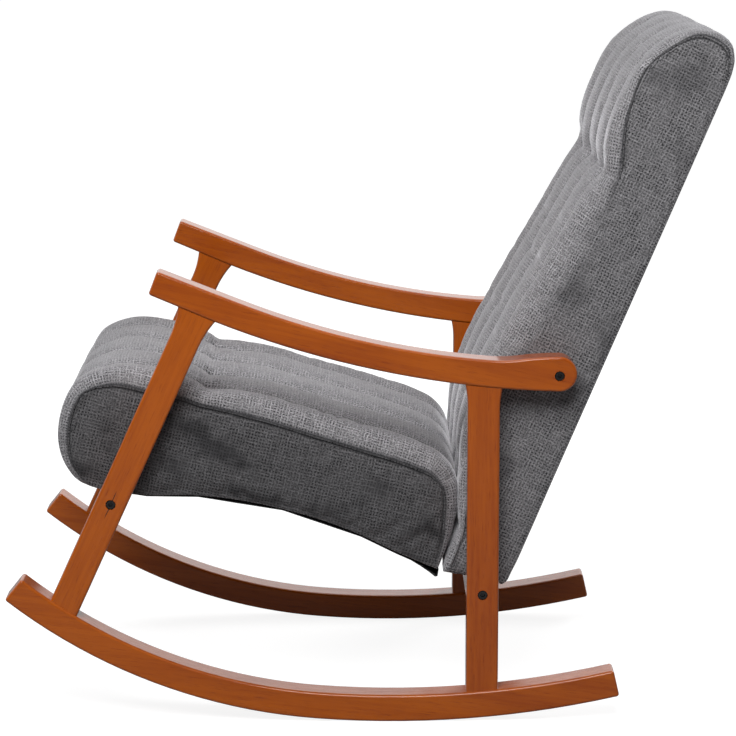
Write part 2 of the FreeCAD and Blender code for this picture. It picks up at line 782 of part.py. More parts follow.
def spring_clip(centre, board):
    """A bent strip that holds the end run of a spring down on a board."""
    inner = spring_wire / 2 + fit_gap
    outer = inner + clip_strip

    def block(half_length, low, high, width):
        places = ((-half_length, low), (half_length, low), (half_length, high), (-half_length, high))
        corners = [shifted(shifted(centre, spring_along, a), spring_up, b) for a, b in places]
        return polygon(corners, -width / 2, width)

    strip = block(clip_length / 2, -outer - clip_foot, outer, clip_width)
    channel = block(clip_length / 2 - clip_strip, -inner, inner, clip_width + cut_margin)
    return largest(strip.cut(channel).cut(board))


spring = zigzag_spring()
front_clip_seat = rotated_bar((cross_high, front_board_top), (-cross_rail_width, cross_rail_width),
                              clip_width)
rear_clip_seat = box((-clip_width, clip_width),
                     (rear_board_y - rear_board_thick, rear_board_back + rear_board_thick),
                     (rear_board_low, rear_board_high))
front_clip = spring_clip(spring_front, front_clip_seat)
rear_clip = spring_clip(spring_rear, rear_clip_seat)
springs = [spring.translated(Vector(place, 0, 0)) for place in spring_places]
clips = [clip.translated(Vector(place, 0, 0)) for place in spring_places for clip in (front_clip, rear_clip)]

# Corner blocks
rear_block = Part.Face(Part.makePolygon([
    Vector(side_board_inner, rear_board_y + balance_y, rear_block_z),
    Vector(side_board_inner - block_leg, rear_board_y + balance_y, rear_block_z),
    Vector(side_board_inner, rear_board_y - block_leg + balance_y, rear_block_z),
    Vector(side_board_inner, rear_board_y + balance_y, rear_block_z)])).extrude(Vector(0, 0, block_height))
front_block_low = cross_high + front_block_lift
front_block = Part.Face(Part.makePolygon([
    point(on_leg(front_block_low, cross_wide), side_board_inner),
    point(on_leg(front_block_low, cross_wide), side_board_inner - block_leg),
    point(on_leg(front_block_low, cross_wide + block_leg), side_board_inner),
    point(on_leg(front_block_low, cross_wide), side_board_inner)])).extrude(
        Vector(0, leg_up[0] * block_height, leg_up[1] * block_height))
corner_blocks = both_sides([rear_block, front_block])


def seat_frame_screws(play):
    """Screws through the front board into the side boards, and through these into the rear board."""
    found = []
    for share in screw_shares:
        start = on_leg(cross_high + front_board_height * share, -cross_wide)
        place = point(start, seat_frame_half - board_thick / 2)
        found.append(screw(place, Vector(0, leg_across[0], leg_across[1]), screw_length, play))
        height = seat_side_low[3][1] + seat_board_height * share
        place = point((rear_board_y + rear_board_thick / 2, height), seat_frame_half)
        found.append(screw(place, Vector(-1, 0, 0), screw_length, play))
    return both_sides(found)


def seat_fixing_screws(play):
    """Screws up through the front cross rail into the seat's front board."""
    start = on_leg(-cross_high, 0.0)
    return [screw(point(start, x), Vector(0, leg_up[0], leg_up[1]), screw_length, play)
            for x in (-fixing_screw_x, 0.0, fixing_screw_x)]


def joining_bolts(play):
    """Bolts from inside the seat's rear board, through both covers, into the back's bottom rail."""
    found = []
    for x in (-joining_bolt_x, joining_bolt_x):
        under = point((rear_board_y - washer_thick, joining_bolt_z), x)
        head = rod(under, Vector(0, -1, 0), head_diameter, head_height)
        shank = rod(under, Vector(0, 1, 0), bolt_diameter + 2 * play, joining_reach)
        found.append(head.fuse(shank).removeSplitter() if play == 0 else shank)
    return found


bottom_rail_back = bottom_rail_y + back_rail_thick
joining_reach = bottom_rail_back - rear_board_y + washer_thick + nut_height + bolt_end_spare
joining_holes = joining_bolts(bolt_play / 2)
joining_washers = []
joining_nuts = []
for x in (-joining_bolt_x, joining_bolt_x):
    forward = Vector(0, -1, 0)
    ring = rod(point((rear_board_y, joining_bolt_z), x), forward, washer_diameter + washer_extra, washer_thick)
    hole_start = point((rear_board_back, joining_bolt_z), x)
    ring_hole = rod(hole_start, forward, bolt_diameter + bolt_play, 2 * rear_board_thick)
    joining_washers.append(ring.cut(ring_hole))
    centre = point((bottom_rail_back, joining_bolt_z), x)
    nut = Part.Face(Part.makePolygon(hexagon(centre, nut_across, Vector(1, 0, 0)))).extrude(
        Vector(0, nut_height, 0))
    thread = rod(hole_start, Vector(0, 1, 0), bolt_diameter + 2 * fit_gap, joining_reach)
    joining_nuts.append(nut.cut(thread))

# Seat foam, cover and dust cover
foam_low = spring_wire / 2 + clip_strip + soft_gap
spring_room_low = -spring_lift - clip_foot
spring_room = polygon([
    shifted(shifted(spring_front, spring_along, -clip_length), spring_up, spring_room_low),
    shifted(shifted(spring_rear, spring_along, clip_length), spring_up, spring_room_low),
    shifted(shifted(spring_rear, spring_along, clip_length), spring_up, foam_low),
    shifted(shifted(spring_front, spring_along, -clip_length), spring_up, foam_low),
], -side_board_inner, 2 * side_board_inner)
seat_cavity = polygon([
    on_leg(front_board_top - foam_overlap, cross_wide), on_leg(-cavity_below, cross_wide),
    (rear_board_y, rear_board_low - cavity_below), (rear_board_y, rear_board_high - foam_overlap),
    spring_rear,
], -side_board_inner, 2 * side_board_inner)
seat_side_solid = seat_side_board(side_board_inner)
seat_boards = [seat_side_solid, mirrored(seat_side_solid), seat_front_board, seat_rear_board]
rear_board_room = box((-side_board_inner, side_board_inner), (rear_board_y, rear_board_back),
                      (rear_board_low - cavity_below, rear_board_high))
seat_foam = seat_fill.cut(front_room)
for tool in seat_boards + [spring_room, seat_cavity, rear_board_room] + joining_holes:
    seat_foam = seat_foam.cut(tool)
seat_foam = largest(seat_foam)
seat_opening = box((-seat_half + turn_under, seat_half - turn_under), (front_bolt[0], rear_board_back),
                   (rear_board_low - cavity_below, seat_side_low[0][1]))
seat_cover = largest(cut_all(seat_outer.cut(seat_form(skin)), [front_room, seat_opening] + joining_holes))


def over_underside(gap, half):
    """Everything above a line that lies a gap below the seat's underside."""
    low = [(y, z - gap) for y, z in underside]
    x = -half
    edges = [arc(low[i], low[i + 1], low[i + 2], x) for i in range(0, len(low) - 1, 2)]
    high_rear = (low[-1][0], low[0][1] + cavity_below)
    high_front = (low[0][0], low[0][1] + cavity_below)
    edges += [line(low[-1], high_rear, x), line(high_rear, high_front, x), line(high_front, low[0], x)]
    return slab(edges, 2 * half)


def around_rear_board(gap, half):
    """The space around the lower edge of the seat's rear board, which stands below the cover."""
    front = rear_board_y - gap
    rear = rear_board_back + gap
    return polygon([(front, rear_board_high), (front, rear_board_front_low[1] - gap),
                    (rear, rear_board_back_low[1] - gap), (rear, rear_board_high)], -half, 2 * half)


dust_half = seat_half - dust_inset
dust_room = [front_room, over_underside(fit_gap, seat_half), around_rear_board(fit_gap, seat_half)]
behind_dust = box((-seat_half, seat_half), (rear_board_back + fit_gap + dust_thick, rear_rail_back),
                  (rear_board_low - cavity_below, rear_board_high))
dust_sheet = over_underside(fit_gap + dust_thick, dust_half)
dust_sheet = dust_sheet.fuse(around_rear_board(fit_gap + dust_thick, dust_half))
for tool in dust_room + [behind_dust]:
    dust_sheet = dust_sheet.cut(tool)
dust_cover = largest(dust_sheet)

# Back frame
rear_low_pair = back_outline[rear_low_point]
rear_high_pair = back_outline[rear_high_point]
rear_slope = (rear_high_pair[0] - rear_low_pair[0]) / (rear_high_pair[1] - rear_low_pair[1])
square = math.hypot(1.0, rear_slope)
post_low_z = rear_rail_high


def post_rear(z):
    """Side view y of the posts' straight rear edge at a height."""
    return rear_low_pair[0] + (z - rear_low_pair[1]) * rear_slope - rear_cover_space * square


post_corners = [
    (post_rear(post_low_z) - post_low_width, post_low_z), (post_rear(post_low_z), post_low_z),
    (post_rear(post_top_z), post_top_z), (post_rear(post_top_z) - post_top_width * square, post_top_z),
    (post_rear(post_mid_z) - post_mid_width * square, post_mid_z),
]


def post_front(z):
    """Side view y of the posts' front edge, which bends at the armrest bolt."""
    low, top, middle = post_corners[0], post_corners[3], post_corners[4]
    a, b = (low, middle) if z < post_mid_z else (middle, top)
    return a[0] + (b[0] - a[0]) * (z - a[1]) / (b[1] - a[1])


post_inner = back_frame_half - board_thick
back_post = polygon(post_corners, post_inner, board_thick)
insert_hole = rod(point(arm_bolt, back_frame_half), Vector(-1, 0, 0), insert_diameter + 2 * fit_gap,
                  insert_length)
back_insert = rod(point(arm_bolt, back_frame_half), Vector(-1, 0, 0), insert_diameter, insert_length)
back_insert = back_insert.cut(rod(point(arm_bolt, back_frame_half + cut_margin), Vector(-1, 0, 0),
                                  bolt_diameter + 2 * fit_gap, insert_length + 2 * cut_margin))


def back_screws(play):
    """Screws through the posts into the ends of the three rails."""
    places = []
    for share in rail_screw_shares:
        y = bottom_rail_y + back_rail_thick / 2 + bottom_screw_set
        places.append((y, bottom_rail_low + back_rail_height * share))
        z = middle_rail_z + back_rail_height * (share - 0.5)
        places.append((post_rear(z) - back_rail_thick * square / 2, z))
        z = post_top_z - back_rail_height * (1 - share)
        places.append((post_front(z) + back_rail_thick * square / 2, z))
    inward = Vector(-1, 0, 0)
    return both_sides([screw(point(pair, back_frame_half), inward, screw_length, play) for pair in places])


def post_screws(play):
    """Screws up through the rear cross rail into the foot of each post."""
    pair = (rear_rail_centre[0] - post_screw_offset, rear_rail_low)
    start = point(pair, back_frame_half - board_thick / 2)
    return both_sides([screw(start, Vector(0, 0, 1), screw_length, play)])


def slanted(edge, depth, low, high, x_half):
    """A rail that follows a slanted edge of the posts between two heights."""
    corners = [(edge(low), low), (edge(low) + depth, low), (edge(high) + depth, high), (edge(high), high)]
    return polygon(corners, -x_half, 2 * x_half)


back_bottom_rail = box((-post_inner, post_inner), (bottom_rail_y, bottom_rail_back),
                       (bottom_rail_low, bottom_rail_low + back_rail_height))
back_middle_rail = slanted(post_rear, -back_rail_thick * square, middle_rail_z - back_rail_height / 2,
                           middle_rail_z + back_rail_height / 2, post_inner)
back_top_rail = slanted(post_front, back_rail_thick * square, post_top_z - back_rail_height, post_top_z,
                        post_inner)
rear_sheet = slanted(post_rear, rear_board_sheet * square, bottom_rail_low, post_top_z - sheet_top_gap,
                     back_frame_half)


def strap(z):
    """A webbing strap stretched over the posts' front edges at a height."""
    slope = (post_front(z + 1.0) - post_front(z - 1.0)) / 2
    scale = math.hypot(1.0, slope)
    along = (slope / scale, 1 / scale)
    forward = (-along[1], along[0])
    low = shifted((post_front(z), z), along, -strap_width / 2)
    high = shifted((post_front(z), z), along, strap_width / 2)
    return polygon([low, high, shifted(high, forward, strap_thick), shifted(low, forward, strap_thick)],
                   -back_frame_half, 2 * back_frame_half)


strap_step = (strap_last_z - strap_first_z) / (strap_count - 1)
straps = [strap(strap_first_z + k * strap_step) for k in range(strap_count)]

# Back foam, cover and rear panel
front_room_gap = strap_thick + soft_gap


def front_room_at(z):
    return (post_front(z) - front_room_gap * square, z)


def rear_room_at(z):
    return (post_rear(z) + rear_board_sheet * square, z)


frame_room = polygon([
    (front_room_at(post_low_z)[0], post_low_z - room_below),
    (rear_room_at(post_low_z)[0], post_low_z - room_below),
    rear_room_at(post_low_z), rear_room_at(post_top_z),
    front_room_at(post_top_z), front_room_at(post_mid_z), front_room_at(post_low_z),
], -back_frame_half, 2 * back_frame_half)
back_foam = back_fill.cut(frame_room)
for tool in [rear_room, back_bottom_rail] + joining_holes + both_sides([arm_hole]):
    back_foam = back_foam.cut(tool)
back_foam = largest(back_foam)

panel_low_z = rear_low_pair[1] - panel_drop
panel_high_z = rear_high_pair[1]


def rear_slab(margin, side_margin):
    """The space along the straight rear face in which the rear panel lies."""
    def outer(z, offset):
        return (rear_low_pair[0] + (z - rear_low_pair[1]) * rear_slope + offset * square, z)
    low = panel_low_z - margin
    high = panel_high_z + margin
    inside = -skin - panel_seat
    corners = [outer(low, inside), outer(low, panel_reach), outer(high, panel_reach), outer(high, inside)]
    return polygon(corners, -back_half + side_margin, 2 * (back_half - side_margin))


back_shell = back_outer.cut(back_form(skin))
rear_panel = largest(back_shell.common(rear_slab(0.0, panel_border)))
back_cover = back_shell.cut(rear_slab(soft_gap, panel_border - soft_gap))
back_cover = cut_all(back_cover, [rear_room] + joining_holes + both_sides([arm_hole, back_post]))
back_cover = largest(back_cover)

# Finished side frames
dowels = leg_dowels(dowel_diameter)
dowel_holes = leg_dowels(dowel_diameter + 2 * fit_gap)
runner = cut_all(runner_raw, dowel_holes)
armrest = cut_all(arm_raw, dowel_holes + [arm_hole])
front_leg = cut_all(trimmed_leg(front_leg_raw), dowel_holes + rail_holes + [front_hole])
rear_leg = cut_all(trimmed_leg(rear_leg_raw), dowel_holes + rail_holes + [rear_hole])
cross_holes = both_sides([front_hole, rear_hole] + rail_holes) + nut_holes
front_cross_rail = cut_all(front_rail, cross_holes + seat_fixing_screws(fit_gap))
rear_cross_rail = cut_all(rear_rail, cross_holes + post_screws(fit_gap))

front_leg_bolt = bolt(front_bolt, leg_outer)
rear_leg_bolt = bolt(rear_bolt, leg_outer)
arm_bolt_solid = bolt(arm_bolt, arm_outer)
washers = [bolt_washer(front_bolt, leg_outer), bolt_washer(rear_bolt, leg_outer),
           bolt_washer(arm_bolt, arm_outer)]

seat_holes = seat_frame_screws(fit_gap) + joining_holes
back_holes = back_screws(fit_gap) + joining_holes
seat_side_left = cut_all(seat_side_solid, seat_holes)
back_post_left = cut_all(back_post, back_holes + post_screws(fit_gap) + [insert_hole, arm_hole])

os.makedirs("parts", exist_ok=True)
frames = {"left": lambda shape: shape, "right": mirrored}
for hand, placed in frames.items():
    write("rocker_" + hand, [placed(runner)])
    write("front_leg_" + hand, [placed(front_leg)])
    write("rear_leg_" + hand, [placed(rear_leg)])
    write("armrest_" + hand, [placed(armrest)])
    write("frame_dowels_" + hand, [placed(dowel) for dowel in dowels])
    write("seat_side_rail_" + hand, [placed(seat_side_left)])
    write("back_post_" + hand, [placed(back_post_left)])
write("front_cross_rail", [front_cross_rail])
write("rear_cross_rail", [rear_cross_rail])
write("rail_dowels", rail_dowels)
write("barrel_nuts", nuts)
write("front_leg_bolts", both_sides([front_leg_bolt]))
write("rear_leg_bolts", both_sides([rear_leg_bolt]))
write("arm_bolts", both_sides([arm_bolt_solid]))
write("bolt_washers", both_sides(washers))
write("back_inserts", both_sides([back_insert]))
write("seat_front_rail", [cut_all(seat_front_board, seat_holes + seat_fixing_screws(fit_gap))])
write("seat_rear_rail", [cut_all(seat_rear_board, seat_holes)])
write("seat_corner_blocks", corner_blocks)
write("seat_frame_screws", seat_frame_screws(0.0))
write("seat_fixing_screws", seat_fixing_screws(0.0))
write("seat_springs", springs)
write("spring_clips", clips)
write("seat_foam", [seat_foam])
write("seat_cover", [seat_cover])
write("seat_dust_cover", [dust_cover])
write("joining_bolts", joining_bolts(0.0))
write("joining_washers", joining_washers)
write("joining_nuts", joining_nuts)
write("back_bottom_rail", [cut_all(back_bottom_rail, back_holes)])
write("back_middle_rail", [cut_all(back_middle_rail, back_holes)])
write("back_top_rail", [cut_all(back_top_rail, back_holes)])
write("back_frame_screws", back_screws(0.0))
write("back_post_screws", post_screws(0.0))
write("back_webbing", straps)
write("back_fibreboard", [rear_sheet])
write("back_foam", [back_foam])
write("back_cover", [back_cover])
write("back_rear_panel", [rear_panel])
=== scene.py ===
"""Looks of the rocking chair: finishes, upholstery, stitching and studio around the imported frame."""

import json
import logging
import math
from dataclasses import dataclass, field
from enum import Enum

import bmesh
import bpy
import numpy as np
from mathutils import Matrix, Vector, noise
from mathutils.bvhtree import BVHTree

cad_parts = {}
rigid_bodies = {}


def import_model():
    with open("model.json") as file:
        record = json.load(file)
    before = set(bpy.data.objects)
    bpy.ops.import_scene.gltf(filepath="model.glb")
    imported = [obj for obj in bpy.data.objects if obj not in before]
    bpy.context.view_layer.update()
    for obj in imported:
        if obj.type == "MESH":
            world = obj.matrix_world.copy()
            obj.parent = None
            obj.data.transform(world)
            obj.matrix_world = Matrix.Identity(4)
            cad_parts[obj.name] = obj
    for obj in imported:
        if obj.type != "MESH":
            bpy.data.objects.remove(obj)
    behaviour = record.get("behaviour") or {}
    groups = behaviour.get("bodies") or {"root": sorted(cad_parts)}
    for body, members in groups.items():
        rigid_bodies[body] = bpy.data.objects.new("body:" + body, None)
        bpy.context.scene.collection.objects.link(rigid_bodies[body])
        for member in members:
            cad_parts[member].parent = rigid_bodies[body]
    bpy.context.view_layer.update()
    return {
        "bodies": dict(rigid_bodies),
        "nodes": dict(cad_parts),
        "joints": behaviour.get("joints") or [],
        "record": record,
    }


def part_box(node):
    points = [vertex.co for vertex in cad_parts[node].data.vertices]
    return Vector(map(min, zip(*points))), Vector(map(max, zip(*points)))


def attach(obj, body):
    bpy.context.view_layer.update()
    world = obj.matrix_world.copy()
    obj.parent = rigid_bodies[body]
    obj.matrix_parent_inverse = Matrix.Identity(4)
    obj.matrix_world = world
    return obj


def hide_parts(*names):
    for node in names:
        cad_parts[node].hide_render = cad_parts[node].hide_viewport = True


LOG = logging.getLogger("rocking_chair")

Socket = bpy.types.NodeSocket

MM = 0.001
BODY = "root"
# Where the rear leg's bolts lie along Y in the cushions' outlines, in millimetres
REAR_BOLT_Y = 123.3
# How far the front legs and their cross rail lean, in degrees
FRONT_LEG_LEAN = 24.56
WEAVE_UV = "weave"
# Point attribute of painted shade along the seams and in the tuft dents
SEAM_SHADE_MARK = "seam"
# Point attribute of painted shade over the cushions' side panels and rolled edges
SIDE_SHADE_MARK = "nap"


class Slot(Enum):
    """The material slots that the record names."""

    WOOD_FRAME = "wood_frame"
    DOWEL_WOOD = "dowel_wood"
    INNER_WOOD = "inner_wood"
    BLACK_BOLT = "black_bolt"
    ZINC_STEEL = "zinc_steel"
    SPRING_STEEL = "spring_steel"
    GREY_FABRIC = "grey_fabric"
    FOAM = "foam"
    DUST_CLOTH = "dust_cloth"
    WEBBING = "webbing"
    FIBREBOARD = "fibreboard"


class GrainLie(Enum):
    """How the grain of a board lies: turns about X and about Z, in degrees, that bring it onto Y."""

    RUNNER = (7.0, 0.0)
    ARMREST = (12.5, 0.0)
    FRONT_LEG = (FRONT_LEG_LEAN - 90.0, 0.0)
    REAR_LEG = (-90.0, 0.0)
    CROSSWISE = (0.0, 90.0)


# Shader writing


class Graph:
    """A node tree that is being written."""

    def __init__(self, tree: bpy.types.NodeTree) -> None:
        """Keeps the tree that the nodes go into."""
        self.tree = tree

    def add(self, kind: str, inputs: dict | None = None, **settings: object) -> bpy.types.Node:
        """Adds one node.

        Args:
            kind: The node's type name.
            inputs: Values or sockets for the node's inputs, by name or number.
            settings: Properties of the node itself.

        Returns:
            The new node.
        """
        made = self.tree.nodes.new(kind)
        for name, value in settings.items():
            setattr(made, name, value)
        self.give(made, inputs or {})
        return made

    def give(self, taker: bpy.types.Node, values: dict) -> None:
        """Sets a node's inputs.

        Args:
            taker: The node.
            values: Sockets, numbers or colours, by the input's name or number.
        """
        for title, value in values.items():
            if isinstance(value, Socket):
                self.tree.links.new(value, taker.inputs[title])
            else:
                taker.inputs[title].default_value = value

    def maths(self, operation: str, *values: object) -> Socket:
        """Returns the result of one Math node on sockets or numbers."""
        return self.add("ShaderNodeMath", dict(enumerate(values)), operation=operation).outputs[0]

    def stretched(self, vector: Socket, factors: tuple) -> Socket:
        """Returns a vector multiplied along each axis."""
        made = self.add("ShaderNodeVectorMath", {0: vector, 1: factors}, operation="MULTIPLY")
        return made.outputs[0]

    def scaled(self, vector: Socket, scale: object) -> Socket:
        """Returns a vector multiplied by a socket or number."""
        return self.add("ShaderNodeVectorMath", {0: vector, "Scale": scale}, operation="SCALE").outputs[0]

    def cloud(self, vector: Socket, detail: float, scale: float = 1.0) -> Socket:
        """Returns the value of a noise texture, from 0 to 1."""
        made = self.add("ShaderNodeTexNoise", {"Vector": vector, "Scale": scale, "Detail": detail})
        return made.outputs["Fac"]

    def ramp(self, value: object, low: float, high: float, start: float = 0.0, end: float = 1.0) -> Socket:
        """Carries a value smoothly from one range to another.

        Args:
            value: The socket or number.
            low: Where the first range starts.
            high: Where the first range ends.
            start: What the value is at and below low.
            end: What the value is at and above high.

        Returns:
            The carried value.
        """
        inputs = {"Value": value, "From Min": low, "From Max": high, "To Min": start, "To Max": end}
        return self.add("ShaderNodeMapRange", inputs, interpolation_type="SMOOTHSTEP").outputs[0]

    def mix(self, factor: object, first: object, second: object, blend: str = "MIX") -> Socket:
        """Returns two colours mixed by a factor."""
        inputs = {0: factor, 6: first, 7: second}
        return self.add("ShaderNodeMix", inputs, data_type="RGBA", blend_type=blend).outputs[2]


SOCKETS = {float: "NodeSocketFloat", tuple: "NodeSocketColor", None: "NodeSocketVector"}


def shader_group(name: str, takes: dict, gives: dict) -> tuple[Graph, bpy.types.Node, bpy.types.Node]:
    """Starts a shader node group.

    Args:
        name: The group's name.
        takes: Its inputs, each with a default number or colour, or None for a vector.
        gives: Its outputs, each with the kind float or tuple.

    Returns:
        The group's graph, its input node and its output node.
    """
    tree = bpy.data.node_groups.new(name, "ShaderNodeTree")
    for title, default in takes.items():
        kind = SOCKETS[None if default is None else type(default)]
        made = tree.interface.new_socket(title, in_out="INPUT", socket_type=kind)
        if default is not None:
            made.default_value = default
    for title, kind in gives.items():
        tree.interface.new_socket(title, in_out="OUTPUT", socket_type=SOCKETS[kind])
    graph = Graph(tree)
    return graph, graph.add("NodeGroupInput"), graph.add("NodeGroupOutput")


@dataclass(frozen=True)
class WoodGrain:
    """Wood whose grain runs along Y: how fine each mark is along X, Y and Z, and how much of it shows."""

    broad: tuple = (26.0, 3.4, 26.0)
    figure: tuple = (210.0, 9.0, 210.0)
    pores: tuple = (1300.0, 44.0, 1300.0)
    flecks: tuple = (420.0, 30.0, 420.0)
    pore_edge: tuple = (0.60, 0.72)
    fleck_edge: tuple = (0.64, 0.74)
    broad_share: float = 0.62
    gloss: tuple = (0.30, 0.42)

    def tree(self) -> bpy.types.NodeTree:
        """Writes the group of broad streaks, fine figure and dark pores.

        Returns:
            The node group.
        """
        takes = {"Vector": None, "Pale": (0.5, 0.3, 0.1, 1.0), "Deep": (0.2, 0.1, 0.05, 1.0), "Pores": 0.4}
        gives = {"Color": tuple, "Roughness": float, "Height": float}
        graph, given, result = shader_group("wood_grain", takes, gives)
        place = given.outputs["Vector"]
        pale, deep = given.outputs["Pale"], given.outputs["Deep"]
        broad = graph.cloud(graph.stretched(place, self.broad), 3.0)
        figure = graph.cloud(graph.stretched(place, self.figure), 4.0)
        pores = graph.ramp(graph.cloud(graph.stretched(place, self.pores), 2.0), *self.pore_edge)
        flecks = graph.ramp(graph.cloud(graph.stretched(place, self.flecks), 2.0), *self.fleck_edge)
        wide = graph.ramp(broad, 0.34, 0.66, 0.0, self.broad_share)
        streaks = graph.maths("ADD", wide, graph.ramp(figure, 0.35, 0.68, 0.0, 1.0 - self.broad_share))
        marks = graph.maths("MULTIPLY", graph.maths("MAXIMUM", pores, flecks), given.outputs["Pores"])
        gloss = graph.ramp(figure, 0.3, 0.7, *self.gloss)
        graph.give(result, {
            "Color": graph.mix(marks, graph.mix(streaks, pale, deep), deep, "MULTIPLY"),
            "Roughness": graph.maths("ADD", gloss, graph.maths("MULTIPLY", pores, 0.12)),
            "Height": graph.maths("SUBTRACT", graph.maths("MULTIPLY", figure, 0.3), pores),
        })
        return graph.tree


@dataclass(frozen=True)
class PlainWeave:
    """A plain weave of uneven yarns on a flat pattern in metres: how fine and how strong each change is."""

    wander: float = 150.0
    wander_share: float = 0.8
    open_patches: tuple = (26.0, 34.0, 1.0)
    fuzz: tuple = (430.0, 430.0, 1.0)
    crushed_patches: tuple = (12.0, 14.0, 1.0)
    hole_edge: tuple = (0.22, 0.38)
    open_share: tuple = (0.50, 1.15)
    ridge_light: float = 0.58
    fuzz_light: tuple = (0.35, 1.15)
    crushed_edge: tuple = (0.69, 0.82)

    def tree(self) -> bpy.types.NodeTree:
        """Writes the group of crossing yarns, the holes between them and the crushed pile.

        Returns:
            The node group.
        """
        takes = {
            "Vector": None, "Yarns": 200.0, "Yarn": (0.2, 0.2, 0.2, 1.0), "Gap": (0.02, 0.02, 0.02, 1.0),
            "Openness": 0.8, "Crushed": 0.5,
        }
        graph, given, result = shader_group("woven_cloth", takes, {"Color": tuple, "Height": float})
        place = given.outputs["Vector"]
        counted = graph.scaled(place, given.outputs["Yarns"])
        wander = graph.add("ShaderNodeTexNoise", {"Vector": place, "Scale": self.wander, "Detail": 2.0})
        wander = graph.scaled(wander.outputs["Color"], self.wander_share)
        bent = graph.add("ShaderNodeVectorMath", {0: counted, 1: wander})
        split = graph.add("ShaderNodeSeparateXYZ", {0: bent.outputs[0]})
        holes, slubs, ridges = [], [], []
        for axis, stretch in (("X", (1.0, 0.22, 1.0)), ("Y", (0.22, 1.0, 1.0))):
            from_yarn = graph.maths("PINGPONG", split.outputs[axis], 0.5)
            holes.append(graph.ramp(from_yarn, *self.hole_edge))
            slubs.append(graph.ramp(graph.cloud(graph.stretched(counted, stretch), 2.0, 0.9), 0.36, 0.64))
            ridges.append(graph.maths("MULTIPLY", graph.ramp(from_yarn, 0.02, 0.20, 1.0, 0.0), slubs[-1]))
        thin = graph.ramp(graph.maths("MULTIPLY", *slubs), 0.05, 0.60, 1.0, 0.30)
        open_patch = graph.ramp(graph.cloud(graph.stretched(place, self.open_patches), 3.0), 0.36, 0.60)
        shown = graph.maths("MULTIPLY", graph.maths("MULTIPLY", *holes), thin)
        shown = graph.maths("MULTIPLY", shown, given.outputs["Openness"])
        shown = graph.maths("MULTIPLY", shown, graph.ramp(open_patch, 0.0, 1.0, *self.open_share))
        fuzz = graph.cloud(graph.stretched(place, self.fuzz), 3.0)
        brightness = graph.maths("MULTIPLY", graph.maths("MAXIMUM", *ridges), self.ridge_light)
        brightness = graph.maths("ADD", brightness, graph.ramp(fuzz, 0.32, 0.68, *self.fuzz_light))
        patch = graph.cloud(graph.stretched(place, self.crushed_patches), 7.0)
        patch = graph.maths("ADD", patch, graph.maths("MULTIPLY", fuzz, 0.30))
        crushed = graph.maths("MULTIPLY", graph.ramp(patch, *self.crushed_edge), given.outputs["Crushed"])
        yarn = graph.mix(1.0, given.outputs["Yarn"], brightness, "MULTIPLY")
        colour = graph.mix(shown, yarn, given.outputs["Gap"])
        graph.give(result, {
            "Color": graph.mix(crushed, colour, given.outputs["Gap"]),
            "Height": graph.maths("SUBTRACT", graph.maths("MULTIPLY", brightness, 0.35), shown),
        })
        return graph.tree


@dataclass(frozen=True)
class WorkedMetal:
    """Plated or blackened steel, with how fine each change is."""

    tone: float = 160.0
    rubbing: float = 420.0
    pitting: float = 2200.0

    def tree(self) -> bpy.types.NodeTree:
        """Writes the group of slight tone changes, rub marks and fine pitting.

        Returns:
            The node group.
        """
        takes = {
            "Vector": None, "Metal": (0.5, 0.5, 0.5, 1.0), "Worn": (0.7, 0.7, 0.7, 1.0), "Roughest": 0.5,
        }
        gives = {"Color": tuple, "Roughness": float, "Height": float}
        graph, given, result = shader_group("worked_metal", takes, gives)
        place = given.outputs["Vector"]
        tone, rubbing, pitting = (
            graph.cloud(graph.stretched(place, (fineness,) * 3), detail)
            for fineness, detail in ((self.tone, 3.0), (self.rubbing, 4.0), (self.pitting, 2.0)))
        worn = graph.maths("MULTIPLY", graph.ramp(rubbing, 0.56, 0.74), 0.6)
        gloss = graph.ramp(tone, 0.3, 0.7, 0.65, 1.0)
        graph.give(result, {
            "Color": graph.mix(worn, given.outputs["Metal"], given.outputs["Worn"]),
            "Roughness": graph.maths("MULTIPLY", gloss, given.outputs["Roughest"]),
            "Height": pitting,
        })
        return graph.tree


@dataclass
class Groups:
    """The node groups that several finishes share."""

    wood: bpy.types.NodeTree = field(default_factory=lambda: WoodGrain().tree())
    cloth: bpy.types.NodeTree = field(default_factory=lambda: PlainWeave().tree())
    metal: bpy.types.NodeTree = field(default_factory=lambda: WorkedMetal().tree())


def new_material(name: str) -> tuple[bpy.types.Material, Graph, bpy.types.Node]:
    """Makes an empty material.

    Args:
        name: Its name.

    Returns:
        The material, its graph and its Principled shader, joined to the output.
    """
    made = bpy.data.materials.new(name)
    made.use_nodes = True
    graph = Graph(made.node_tree)
    made.node_tree.nodes.clear()
    shader = graph.add("ShaderNodeBsdfPrincipled")
    graph.add("ShaderNodeOutputMaterial", {"Surface": shader.outputs[0]})
    return made, graph, shader


def join_bump(graph: Graph, shader: bpy.types.Node, height: Socket, depth: float) -> None:
    """Feeds a height into the shader's normal, at a depth in metres."""
    bump = graph.add("ShaderNodeBump", {"Height": height, "Strength": 0.6, "Distance": depth})
    graph.give(shader, {"Normal": bump.outputs[0]})


